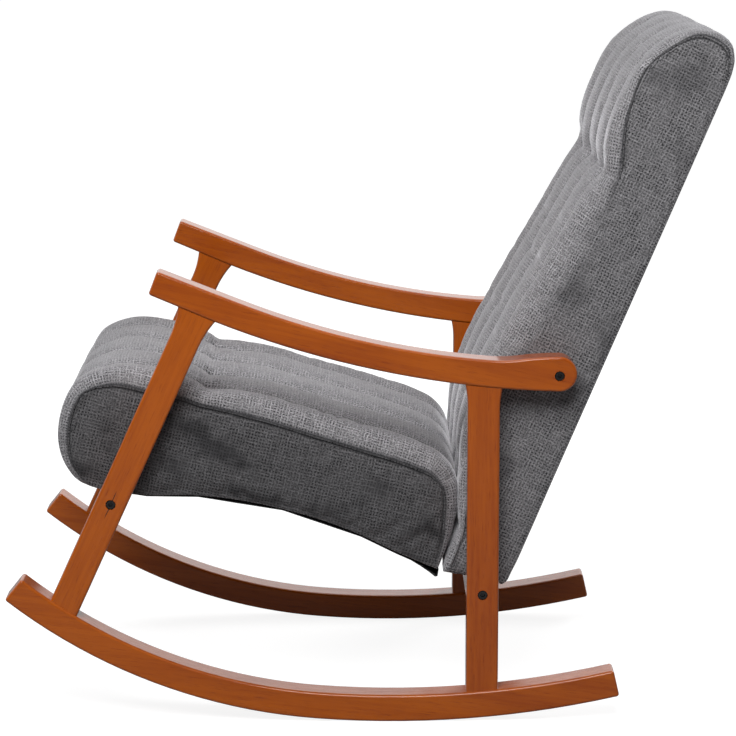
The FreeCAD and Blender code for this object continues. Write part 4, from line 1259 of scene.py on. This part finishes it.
def set_vertices(mesh: bpy.types.Mesh, places: np.ndarray) -> None:
    """Writes a mesh's vertex places."""
    mesh.vertices.foreach_set("co", places.astype(np.float32).ravel())
    mesh.update()


def turn_outwards(mesh: bpy.types.Mesh) -> None:
    """Makes all faces of a closed mesh point outwards.

    Args:
        mesh: The mesh.
    """
    shell = bmesh.new()
    shell.from_mesh(mesh)
    bmesh.ops.recalc_face_normals(shell, faces=shell.faces)
    shell.to_mesh(mesh)
    shell.free()


def balance_y() -> float:
    """Returns where the side outlines' zero lies along Y, from the rear leg's bolts, in metres."""
    low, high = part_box("rear_leg_bolts")
    return (low.y + high.y) / 2 - REAR_BOLT_Y * MM


def in_frame(places: np.ndarray) -> np.ndarray:
    """Returns places in metres in the frame, from millimetres in the cushions' outlines."""
    return places * MM + (0.0, balance_y(), 0.0)


def lay_weave(mesh: bpy.types.Mesh, patterns: list) -> None:
    """Writes a mesh's flat cloth pattern: a pair of metres for each corner of each face."""
    layer = mesh.uv_layers.new(name=WEAVE_UV)
    layer.data.foreach_set("uv", np.array(patterns, dtype=np.float32).ravel())


def seat_cushion() -> Cushion:
    """Lays out the seat: a sloping cushion with a rolled front and a tufted fold behind it.

    Returns:
        The seat cushion.
    """
    top = rim_points(
        (88, 330, 20, 0.25, 1.0), (80, 350, 24, 0.5, 1.0), (66, 365.5, 25, 0.8, 1.0), (42, 378, 25, 1.0, 1.0),
        (-41, 406, 25, 1.0, 1.0), (-124, 431, 24, 1.0, 1.0), (-200, 451, 22, 1.0, 1.0),
        (-263, 464, 17, 1.0, 1.0, True), (-331, 486, 23, 1.0, 1.0), (-399, 492, 19, 1.0, 1.0),
        (-444, 472, 14, 1.0, 1.0),
    )
    nose = top[-1:] + rim_points(
        (-466, 430, 13, 1.0, 1.0), (-470, 392, 12, 1.0, 0.9), (-458, 352, 9, 0.7, 0.6), (-441, 334, 5, 0.3, 0.2))
    under = nose[-1:] + rim_points(
        (-417, 324, 2, 0.0, 0.0), (-346, 314, 2, 0.0, 0.0), (-274, 313, 2, 0.0, 0.0), (-156, 293.5, 2, 0.0, 0.0),
        (-46, 256, 2, 0.0, 0.0), (5, 231, 2, 0.0, 0.0), (62, 206, 2, 0.0, 0.2, True))
    rear = under[-1:] + rim_points((84, 264, 13, 0.0, 0.8)) + top[:1]
    # The seat's sides get deeper painted shade than the back's, as the armrests shade them
    return Cushion(
        name="seat_cushion", half=247.0, runs=(top, nose, under, rear), steps=(104, 30, 104, 30),
        crease=Crease(7, 4.0, 34.0, 9.0, 24.0, 19.0), quilt_depth=7.0, weave_lean=-14.0, side_swell=3.2,
        widest=252.5, nap=0.69, replaced=("seat_cover", "seat_foam"), seed=2.0,
    )


def back_cushion() -> Cushion:
    """Lays out the back: a tall cushion with a headrest that steps forward over a neck fold.

    Returns:
        The back cushion.
    """
    front = rim_points(
        (69, 203, 9, 0.3, 0.8, True), (86.5, 264, 10, 0.8, 1.0), (92, 345, 12, 1.0, 1.0), (97, 397, 18, 1.0, 0.6),
        (117, 462, 28, 1.0, 0.1), (162, 553, 34, 1.0, 0.0), (212, 641, 36, 1.0, 0.0), (250, 708, 34, 1.0, 0.1),
        (268, 741, 30, 1.0, 0.3), (283, 770, 23, 1.0, 0.5, True), (287, 792, 24, 1.0, 1.0),
        (292, 815, 19, 1.0, 1.0), (308, 860, 10, 1.0, 1.0), (336, 914, 5, 1.0, 1.0),
    )
    top = front[-1:] + rim_points(
        (354, 933.5, 6, 0.95, 1.0, False, 34.0), (376, 949, 6, 0.9, 1.0, False, 45.0),
        (395, 959, 6, 0.8, 1.0, False, 48.0), (414, 964, 6, 0.7, 1.0, False, 48.0),
        (432, 962, 7, 0.6, 1.0, False, 40.0), (449, 954.5, 8, 0.45, 1.0, False, 28.0),
        (461.5, 942, 8, 0.3, 1.0, False, 16.0), (465, 925, 7, 0.1, 0.9), (461.5, 904, 6, 0.0, 0.7))
    rear = top[-1:] + rim_points(
        (454.5, 885, 5, 0.0, 0.4), (444, 860, 4, 0.0, 0.4), (340, 613.5, 4, 0.0, 0.4), (217, 323, 4, 0.0, 0.4),
        (190, 259, 3, 0.0, 0.3), (166, 205, 3, 0.0, 0.2), (157, 189, 3, 0.0, 0.2))
    bottom = rear[-1:] + rim_points(
        (151, 186, 2, 0.0, 0.0), (145, 200, 2, 0.0, 0.0, True), (108, 199, 3, 0.0, 0.0)) + front[:1]
    return Cushion(
        name="back_cushion", half=254.4, runs=(front, top, rear, bottom), steps=(130, 30, 130, 30),
        crease=Crease(9, 5.0, 13.0, 12.0, 12.0, 40.0), quilt_depth=7.5, weave_lean=64.0, side_swell=0.0,
        widest=254.7, nap=0.38, replaced=("back_cover", "back_foam"), seed=31.0,
    )


@dataclass(frozen=True)
class RearPanel:
    """The stretched panel that closes the back's rear face; sizes in millimetres."""

    border: float = 12.0
    low: float = 218.0
    high: float = 904.0
    behind: float = 165.0
    lift: float = 1.2
    sunk_edge: float = 1.2
    rounding: float = 6.0
    half_thick: float = 0.6
    columns: int = 60
    fine: tuple = (1.5, 4.0)

    def build(self, cloth: bpy.types.Material) -> None:
        """Makes the panel.

        Args:
            cloth: Its material.
        """
        cushion = back_cushion()
        rim = cushion.rim()
        y, z = rim.place.T
        chosen = np.flatnonzero((rim.quilt == 0.0) & (y > self.behind) & (z > self.low) & (z < self.high))
        runs = rim.along[chosen] - rim.along[chosen[0]]
        half = cushion.half - self.border
        xs = graded(2 * half, self.columns, self.fine) - half
        rows = []
        for order, (row, run) in enumerate(zip(chosen, runs)):
            line = []
            for x in xs:
                from_edge = max(min(half - abs(x), run, runs[-1] - run), 0.0)
                puff = 1.0 - math.exp(-from_edge / self.rounding)
                ripple = uneven(x * 0.02, order * 0.12, 4.0)
                sunk = -self.lift * puff * (1.0 + 0.35 * ripple) + self.sunk_edge * (1.0 - puff)
                line.append((x, *(rim.place[row] + rim.inward[row] * sunk)))
            rows.append(in_frame(np.array(line)).tolist())
        piece = sheet_piece("rear_panel", rows, xs * MM, runs * MM, self.half_thick * MM)
        dress(piece, cloth, Slot.GREY_FABRIC, ("back_rear_panel",))
        report(piece)


@dataclass(frozen=True)
class DustCover:
    """The black cloth under the seat, with the pocket round the rear board; sizes in millimetres."""

    half: float = 242.0
    half_thick: float = 0.5
    line: tuple = (
        (-369.0, 315.8), (-346.0, 312.4), (-274.0, 311.4), (-156.0, 291.9), (-46.0, 253.8), (5.0, 228.5),
        (25.0, 219.5), (38.0, 211.5), (50.0, 203.0), (58.5, 196.0), (61.5, 196.5), (63.0, 206.0),
    )
    rows: int = 70
    columns: int = 56
    staple_spacing: float = 38.0
    staple_inset: float = 9.0
    staple_below: float = 0.9
    stapled_points: int = 6
    front_staples: tuple = (8.0, -1.6)

    def build(self, cloth: bpy.types.Material, steel: bpy.types.Material) -> None:
        """Makes the cloth and its staples.

        Args:
            cloth: The cloth's material.
            steel: The staples' material.
        """
        line = np.array(self.line)
        along = travelled(line)
        stops = np.unique(np.concatenate([along, np.linspace(0.0, along[-1], self.rows)]))
        xs = np.linspace(-self.half, self.half, self.columns)
        rows = []
        for stop in stops:
            y, z = (np.interp(stop, along, line[:, axis]) for axis in (0, 1))
            rows.append(in_frame(np.array([(x, y, z - self.sag(x, stop)) for x in xs])).tolist())
        piece = sheet_piece("dust_cover", rows, xs * MM, stops * MM, self.half_thick * MM)
        dress(piece, cloth, Slot.DUST_CLOTH, ("seat_dust_cover",))
        report(piece)
        self.staples(line, steel)

    def sag(self, x: float, stop: float) -> float:
        """Returns how far the dust cover ripples away from the seat at a point."""
        return 0.25 + 0.25 * uneven(x * 0.03, stop * 0.03, 7.0)

    def staples(self, line: np.ndarray, steel: bpy.types.Material) -> None:
        """Puts staples along the front and side edges.

        Args:
            line: The cloth's line from front to rear.
            steel: The staples' material.
        """
        inset = self.half - self.staple_inset
        paths = [[(side * inset, y, z - self.staple_below) for y, z in line[:self.stapled_points]]
                 for side in (-1.0, 1.0)]
        paths.append([(x, *(line[0] + self.front_staples)) for x in np.linspace(-inset, inset, 12)])
        paths = [in_frame(np.array(path)).tolist() for path in paths]
        row = SewnRow(
            "dust_cover_staples", self.staple_spacing * MM, length=0.0100, radius=0.00045, turn=0.0)
        made = row.build(paths, steel)
        dress(made, steel, Slot.ZINC_STEEL)
        report(made)


@dataclass(frozen=True)
class Upholstery:
    """The chair's cushions, the cloth panels on them and the stitching; sizes in millimetres."""

    cushions: tuple[Cushion, ...] = field(default_factory=lambda: (seat_cushion(), back_cushion()))
    panel: RearPanel = RearPanel()
    dust: DustCover = DustCover()
    rail_room: tuple = (600.0, 38.0, 42.0)
    room_below: float = 30.0
    stitch_spacing: float = 5.2
    stitch_lift: float = 0.25
    longest_jump: float = 30.0

    def build(self, finishes: dict) -> None:
        """Makes every soft piece and reports it.

        Args:
            finishes: The material of each slot.
        """
        cloth = finishes[Slot.GREY_FABRIC]
        thread = SewingThread().material()
        for cushion in self.cushions:
            piece = cushion.build()
            if cushion.name == "seat_cushion":
                self.clear_cross_rail(piece)
            dress(piece, cloth, Slot.GREY_FABRIC, cushion.replaced)
            report(piece)
            self.stitch(cushion, piece, thread)
        self.panel.build(cloth)
        self.dust.build(finishes[Slot.DUST_CLOTH], finishes[Slot.ZINC_STEEL])

    def clear_cross_rail(self, seat: bpy.types.Object) -> None:
        """Cuts the room for the front cross rail out of the seat.

        Args:
            seat: The seat's piece.
        """
        rail_low, rail_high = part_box("front_cross_rail")
        lean = math.radians(FRONT_LEG_LEAN)
        turn = Matrix.Translation((rail_low + rail_high) / 2) @ Matrix.Rotation(-lean, 4, "X")
        long, wide, high = (size * MM for size in self.rail_room)
        low = high + 2 * self.room_below * MM
        shell = bmesh.new()
        bmesh.ops.create_cube(shell, size=1.0)
        for vertex in shell.verts:
            x, y, z = vertex.co
            vertex.co = turn @ Vector((x * long, y * wide, z * (high if z > 0 else low)))
        cutter_mesh = bpy.data.meshes.new("rail_room")
        shell.to_mesh(cutter_mesh)
        shell.free()
        cutter = linked("rail_room", cutter_mesh)
        cut = seat.modifiers.new("rail_room", "BOOLEAN")
        cut.operation = "DIFFERENCE"
        cut.solver = "EXACT"
        cut.object = cutter
        applied(seat)
        bpy.data.objects.remove(cutter)
        bpy.data.meshes.remove(cutter_mesh)

    def stitch(self, cushion: Cushion, piece: bpy.types.Object, thread: bpy.types.Material) -> None:
        """Sews the channels with one line of stitches and the border with two.

        Args:
            cushion: The cushion's sizes.
            piece: Its finished piece.
            thread: The thread's material.
        """
        paths = [cushion.seam_path(column) for column, (strip, value, _) in enumerate(cushion.stations())
                 if strip is Strip.FLAT and value in cushion.seams]
        paths += [cushion.border_path(side, ring) for side in (-1.0, 1.0) for ring in (0, 2)]
        surface = surface_tree(piece)
        snapped = [snap(path, surface, self.stitch_lift * MM) for path in paths]
        row = SewnRow(f"{cushion.name.split('_')[0]}_stitching", self.stitch_spacing * MM)
        made = row.build(split_jumps(snapped, self.longest_jump * MM), thread)
        dress(made, thread, Slot.GREY_FABRIC)
        report(made)


def sheet_piece(
        name: str, rows: list, xs: np.ndarray, runs: np.ndarray, half_thick: float) -> bpy.types.Object:
    """Makes a cloth sheet with a flat pattern and a thickness.

    Args:
        name: Its name.
        rows: Its points, row by row, in metres.
        xs: Each column's place on the flat pattern, in metres.
        runs: Each row's place on the flat pattern, in metres.
        half_thick: Half the sheet's thickness, in metres.

    Returns:
        The sheet, not yet dressed.
    """
    columns = len(rows[0])
    vertices = [point for row in rows for point in row]
    faces, patterns = [], []
    for i in range(len(rows) - 1):
        for j in range(columns - 1):
            corners = ((i, j), (i, j + 1), (i + 1, j + 1), (i + 1, j))
            faces.append([a * columns + b for a, b in corners])
            patterns.append([(xs[b], runs[a]) for a, b in corners])
    mesh = bpy.data.meshes.new(name)
    mesh.from_pydata(vertices, [], faces)
    lay_weave(mesh, patterns)
    piece = linked(name, mesh)
    body = piece.modifiers.new("thickness", "SOLIDIFY")
    body.thickness = 2 * half_thick
    body.offset = 0.0
    applied(piece)
    turn_outwards(piece.data)
    return piece


def surface_tree(piece: bpy.types.Object) -> BVHTree:
    """Returns a search tree of a piece's surface."""
    mesh = piece.data
    return BVHTree.FromPolygons([v.co for v in mesh.vertices], [tuple(p.vertices) for p in mesh.polygons])


def snap(path: list, surface: BVHTree, lift: float) -> list[Vector]:
    """Moves a path onto a surface.

    Args:
        path: The path's points.
        surface: The surface's search tree.
        lift: How far off the surface the path then lies, in metres.

    Returns:
        The moved points.
    """
    result = []
    for point in path:
        place, normal, _, _ = surface.find_nearest(Vector(point))
        result.append(place + normal * lift)
    return result


def split_jumps(paths: list, most: float) -> list:
    """Cuts paths wherever they jump.

    Args:
        paths: The paths, as lists of points.
        most: The longest step that is no jump, in metres.

    Returns:
        The parts of the paths that have three points or more.
    """
    result = []
    for path in paths:
        current = [path[0]]
        for before, after in zip(path, path[1:]):
            if (Vector(after) - Vector(before)).length > most:
                result.append(current)
                current = []
            current.append(after)
        result.append(current)
    return [path for path in result if len(path) > 2]


@dataclass
class SewnRow:
    """Rows of stitches or staples along paths, made by geometry nodes."""

    name: str
    spacing: float
    length: float = 0.0038
    radius: float = 0.00055
    turn: float = 0.12
    seed: int = 7

    def tree(self) -> bpy.types.NodeTree:
        """Writes the tree that sets one small rod at each place along the paths.

        Returns:
            The geometry node tree.
        """
        tree = bpy.data.node_groups.new("sewn_row", "GeometryNodeTree")
        tree.is_modifier = True
        sizes = {title: "Float" for title in ("Spacing", "Length", "Radius", "Turn")}
        for title, kind in {"Geometry": "Geometry", **sizes, "Thread": "Material"}.items():
            tree.interface.new_socket(title, in_out="INPUT", socket_type=f"NodeSocket{kind}")
        tree.interface.new_socket("Geometry", in_out="OUTPUT", socket_type="NodeSocketGeometry")
        graph = Graph(tree)
        given = graph.add("NodeGroupInput").outputs
        along = {"Curve": given["Geometry"], "Length": given["Spacing"]}
        spaced = graph.add("GeometryNodeCurveToPoints", along, mode="LENGTH")
        rod = graph.add("GeometryNodeMeshUVSphere", {"Segments": 8, "Rings": 5, "Radius": 1.0})
        half = graph.maths("MULTIPLY", given["Length"], 0.5)
        size = graph.add("ShaderNodeCombineXYZ", {"X": given["Radius"], "Y": given["Radius"], "Z": half})
        least = graph.maths("MULTIPLY", given["Turn"], -1.0)
        low, high = (
            graph.add("ShaderNodeCombineXYZ", {"X": end, "Y": end}).outputs[0]
            for end in (least, given["Turn"]))
        limits = {"Min": low, "Max": high, "Seed": self.seed}
        chance = graph.add("FunctionNodeRandomValue", limits, data_type="FLOAT_VECTOR")
        placed = graph.add("GeometryNodeInstanceOnPoints", {
            "Points": spaced.outputs["Points"], "Instance": rod.outputs["Mesh"],
            "Rotation": spaced.outputs["Rotation"], "Scale": size.outputs[0],
        })
        turned = {"Instances": placed.outputs[0], "Rotation": chance.outputs[0]}
        jitter = graph.add("GeometryNodeRotateInstances", turned)
        real = graph.add("GeometryNodeRealizeInstances", {"Geometry": jitter.outputs[0]})
        worn = {"Geometry": real.outputs[0], "Material": given["Thread"]}
        coloured = graph.add("GeometryNodeSetMaterial", worn)
        graph.add("NodeGroupOutput", {"Geometry": coloured.outputs[0]})
        return tree

    def build(self, paths: list, material: bpy.types.Material) -> bpy.types.Object:
        """Returns the rows as one plain mesh piece.

        Args:
            paths: The paths that the rods follow, as lists of points in metres.
            material: The rods' material.

        Returns:
            The finished piece, not yet dressed.
        """
        curve = bpy.data.curves.new(self.name, "CURVE")
        curve.dimensions = "3D"
        for path in paths:
            spline = curve.splines.new("POLY")
            spline.points.add(len(path) - 1)
            for point, place in zip(spline.points, path):
                point.co = (*place, 1.0)
        holder = bpy.data.objects.new(self.name + "_paths", curve)
        bpy.context.scene.collection.objects.link(holder)
        row = holder.modifiers.new("row", "NODES")
        tree = self.tree()
        values = {
            "Spacing": self.spacing, "Length": self.length, "Radius": self.radius, "Turn": self.turn,
            "Thread": material,
        }
        row.node_group = tree
        for socket in tree.interface.items_tree:
            if socket.in_out == "INPUT" and socket.name in values:
                row[socket.identifier] = values[socket.name]
        graph = bpy.context.evaluated_depsgraph_get()
        mesh = bpy.data.meshes.new_from_object(holder.evaluated_get(graph), depsgraph=graph)
        mesh.name = self.name
        bpy.data.objects.remove(holder)
        bpy.data.curves.remove(curve)
        return linked(self.name, mesh)


def report(piece: bpy.types.Object) -> None:
    """Logs a piece's name and size.

    Args:
        piece: The piece.
    """
    places = vertex_array(piece.data)
    size = (places.max(axis=0) - places.min(axis=0)) / MM
    LOG.info("%s: %d faces, %.0f x %.0f x %.0f mm", piece.name, len(piece.data.polygons), *size)


@dataclass
class WoodenFrame:
    """The runners, legs, armrests and cross rails, which keep their solid shapes."""

    lies: dict = field(default_factory=lambda: {
        "rocker": GrainLie.RUNNER, "armrest": GrainLie.ARMREST, "front_leg": GrainLie.FRONT_LEG,
        "rear_leg": GrainLie.REAR_LEG, "front_cross_rail": GrainLie.CROSSWISE,
        "rear_cross_rail": GrainLie.CROSSWISE,
    })

    def split_place(self) -> tuple[float, float, float]:
        """Finds the drying split of the left front leg.

        Returns:
            Its outer X, and its place along and across the leg.
        """
        low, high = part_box("front_leg_bolts")
        centre = (low + high) / 2
        turn = Matrix.Rotation(math.radians(GrainLie.FRONT_LEG.value[0]), 3, "X")
        turned = turn @ Vector((0.0, centre.y, centre.z))
        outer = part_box("front_leg_left")[1].x
        return outer, turned.y, turned.z

    def build(self, nodes: dict, groups: Groups) -> None:
        """Dresses each board in stained wood whose grain runs along it.

        Args:
            nodes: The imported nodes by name.
            groups: The shared node groups.
        """
        made = {}
        for name, piece in sorted(nodes.items()):
            if piece.material_slots[0].name != Slot.WOOD_FRAME.value:
                continue
            stem = name.removesuffix("_left").removesuffix("_right")
            split = self.split_place() if name == "front_leg_left" else None
            key = (stem, split is not None)
            if key not in made:
                title = "stained_wood_" + (name if split else stem)
                made[key] = StainedWood(title, self.lies[stem], split_at=split).material(groups)
            piece.material_slots[0].material = made[key]
            LOG.info("%s: grain laid by %s", name, self.lies[stem].name)


def hidden_finishes(groups: Groups) -> dict:
    """Makes the finishes of all slots but the stained wood.

    Args:
        groups: The shared node groups.

    Returns:
        The material of each slot.
    """
    finishes = {
        Slot.DOWEL_WOOD: BareWood("beech_dowel", (0.60, 0.40, 0.20, 1.0), (0.42, 0.25, 0.11, 1.0)),
        Slot.INNER_WOOD: BareWood("rough_pine", (0.66, 0.47, 0.25, 1.0), (0.48, 0.29, 0.12, 1.0)),
        Slot.BLACK_BOLT: SteelFinish(
            "black_oxide", (0.005, 0.005, 0.006, 1.0), (0.02, 0.02, 0.02, 1.0), 0.34, metallic=0.0),
        Slot.ZINC_STEEL: SteelFinish("zinc_plate", (0.52, 0.53, 0.55, 1.0), (0.70, 0.70, 0.68, 1.0), 0.38),
        Slot.SPRING_STEEL: SteelFinish("spring_wire", (0.16, 0.16, 0.17, 1.0), (0.35, 0.34, 0.33, 1.0), 0.40),
        Slot.GREY_FABRIC: WovenFinish(
            "grey_chenille", (0.310, 0.303, 0.316, 1.0), (0.028, 0.028, 0.032, 1.0), 225.0, openness=0.95,
            crushed=0.9, sheen=0.75, sheen_roughness=0.30),
        Slot.DUST_CLOTH: WovenFinish(
            "black_dust_cloth", (0.018, 0.018, 0.018, 1.0), (0.006, 0.006, 0.006, 1.0), 900.0, openness=0.6,
            crushed=0.2, sheen=0.15),
        Slot.WEBBING: WovenFinish(
            "jute_webbing", (0.40, 0.30, 0.18, 1.0), (0.12, 0.08, 0.04, 1.0), 420.0, openness=0.8,
            crushed=0.2, sheen=0.1, flat_pattern=False),
        Slot.FOAM: PressedFinish("cut_foam", (0.80, 0.74, 0.50, 1.0), (0.66, 0.58, 0.34, 1.0), 700.0, 0.0004),
        Slot.FIBREBOARD: PressedFinish(
            "brown_fibreboard", (0.30, 0.18, 0.09, 1.0), (0.18, 0.10, 0.05, 1.0), 500.0, 0.0002),
    }
    return {slot: finish.material(groups) for slot, finish in finishes.items()}


def dress_nodes(nodes: dict, finishes: dict) -> None:
    """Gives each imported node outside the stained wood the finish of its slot.

    Args:
        nodes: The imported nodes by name.
        finishes: The material of each slot.
    """
    by_name = {slot.value: material for slot, material in finishes.items()}
    for piece in nodes.values():
        name = piece.material_slots[0].name
        if name in by_name:
            piece.material_slots[0].material = by_name[name]


@dataclass(frozen=True)
class Viewpoint:
    """The photograph's camera, found from the chair's own corners in it."""

    place: tuple = (4.19066, -0.02102, 1.19674)
    pitch_down: float = 10.0927
    yaw: float = 0.33744
    lens: float = 141.07
    sensor: float = 36.0

    def build(self) -> None:
        """Makes the camera and makes it the scene's own."""
        pitch, yaw = math.radians(self.pitch_down), math.radians(self.yaw)
        level = math.cos(pitch)
        ahead = Vector((-math.cos(yaw) * level, math.sin(yaw) * level, -math.sin(pitch)))
        right = Vector((math.sin(yaw), math.cos(yaw), 0.0))
        up = right.cross(ahead)
        camera = bpy.data.cameras.new("view")
        camera.lens = self.lens
        camera.sensor_width = self.sensor
        camera.clip_end = 50.0
        holder = bpy.data.objects.new("view", camera)
        turn = Matrix((right, up, -ahead)).transposed().to_4x4()
        holder.matrix_world = Matrix.Translation(self.place) @ turn
        bpy.context.scene.collection.objects.link(holder)
        bpy.context.scene.camera = holder


@dataclass(frozen=True)
class Lamp:
    """A soft square lamp aimed at the chair."""

    name: str
    place: tuple
    size: float
    power: float
    aim: tuple = (0.0, 0.0, 0.45)

    def build(self) -> None:
        """Adds the lamp to the scene."""
        light = bpy.data.lights.new(self.name, "AREA")
        light.size = self.size
        light.energy = self.power
        holder = bpy.data.objects.new(self.name, light)
        holder.location = self.place
        holder.rotation_mode = "QUATERNION"
        holder.rotation_quaternion = (Vector(self.aim) - Vector(self.place)).to_track_quat("-Z", "Y")
        bpy.context.scene.collection.objects.link(holder)


@dataclass(frozen=True)
class Studio:
    """The pale floor, the white surroundings and the soft lamps."""

    floor_reach: float = 30.0
    floor_colour: tuple = (0.30, 0.30, 0.30, 1.0)
    near_glow: float = 0.88
    far_glow: float = 1.0
    mirrored_glow: float = 0.10
    ambient: float = 0.10
    wall_behind_camera: float = 0.04
    lamps: tuple = (
        Lamp("key", (2.5, -0.4, 2.8), 1.7, 114.0),
        Lamp("top", (-0.8, -0.3, 3.6), 2.2, 26.0),
        Lamp("rear", (-2.3, 2.4, 2.3), 1.8, 62.0),
        Lamp("front", (1.0, -3.4, 2.3), 1.6, 20.0),
    )

    def seen(self, graph: Graph) -> Socket:
        """Tells rays that see the studio's glow from those that don't.

        Args:
            graph: The material's graph.

        Returns:
            1 for camera rays, a share for mirrored rays and 0 for the others.
        """
        path = graph.add("ShaderNodeLightPath").outputs
        mirrored = graph.maths("MAXIMUM", path["Is Glossy Ray"], path["Is Transmission Ray"])
        mirrored = graph.maths("MULTIPLY", mirrored, self.mirrored_glow)
        return graph.maths("MAXIMUM", path["Is Camera Ray"], mirrored)

    def floor(self) -> None:
        """Makes the floor, white to the camera, which keeps the chair's shadow."""
        reach = self.floor_reach
        mesh = bpy.data.meshes.new("floor")
        corners = [(-reach, -reach, 0), (reach, -reach, 0), (reach, reach, 0), (-reach, reach, 0)]
        mesh.from_pydata(corners, [], [(0, 1, 2, 3)])
        piece = linked("floor", mesh)
        made, graph, shader = new_material("studio_floor")
        place = graph.add("ShaderNodeTexCoord").outputs["Object"]
        tone = graph.ramp(graph.cloud(place, 2.0, 1.5), 0.3, 0.7, 0.97, 1.0)
        colour = graph.mix(1.0, self.floor_colour, tone, "MULTIPLY")
        from_chair = graph.add("ShaderNodeVectorMath", {0: place}, operation="LENGTH").outputs["Value"]
        level = graph.ramp(from_chair, 0.9, 2.2, self.near_glow, self.far_glow)
        graph.give(shader, {
            "Base Color": colour, "Roughness": 1.0, "Specular IOR Level": 0.0,
            "Emission Color": (1.0, 1.0, 1.0, 1.0),
            "Emission Strength": graph.maths("MULTIPLY", self.seen(graph), level),
        })
        piece.data.materials.append(made)

    def world(self) -> None:
        """Makes the surroundings: white where they are seen, dimmer as light on the chair."""
        world = bpy.data.worlds.new("studio")
        world.use_nodes = True
        bpy.context.scene.world = world
        graph = Graph(world.node_tree)
        world.node_tree.nodes.clear()
        path = graph.add("ShaderNodeLightPath").outputs
        towards = graph.add("ShaderNodeTexCoord").outputs["Generated"]
        facing = graph.add("ShaderNodeSeparateXYZ", {0: towards})
        mirrored = graph.ramp(facing.outputs["X"], -0.2, 0.6, 1.0, self.wall_behind_camera)
        glossy = graph.maths("MAXIMUM", path["Is Glossy Ray"], path["Is Transmission Ray"])
        strength = graph.mix(glossy, (self.ambient,) * 3 + (1.0,), mirrored)
        strength = graph.mix(path["Is Camera Ray"], strength, (1.0, 1.0, 1.0, 1.0))
        sky = graph.add("ShaderNodeBackground", {"Color": strength, "Strength": 1.0})
        graph.add("ShaderNodeOutputWorld", {"Surface": sky.outputs[0]})

    def build(self) -> None:
        """Sets up the studio and the plain view transform."""
        self.floor()
        self.world()
        for lamp in self.lamps:
            lamp.build()
        bpy.context.scene.view_settings.view_transform = "Standard"


def main() -> None:
    """Loads the frame, dresses it, makes the soft pieces and sets up the studio."""
    logging.basicConfig(level=logging.INFO, format="%(name)s %(message)s")
    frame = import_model()
    nodes = frame["nodes"]
    Viewpoint().build()
    Studio().build()
    groups = Groups()
    finishes = hidden_finishes(groups)
    dress_nodes(nodes, finishes)
    WoodenFrame().build(nodes, groups)
    Upholstery().build(finishes)


if __name__ == "__main__":
    main()
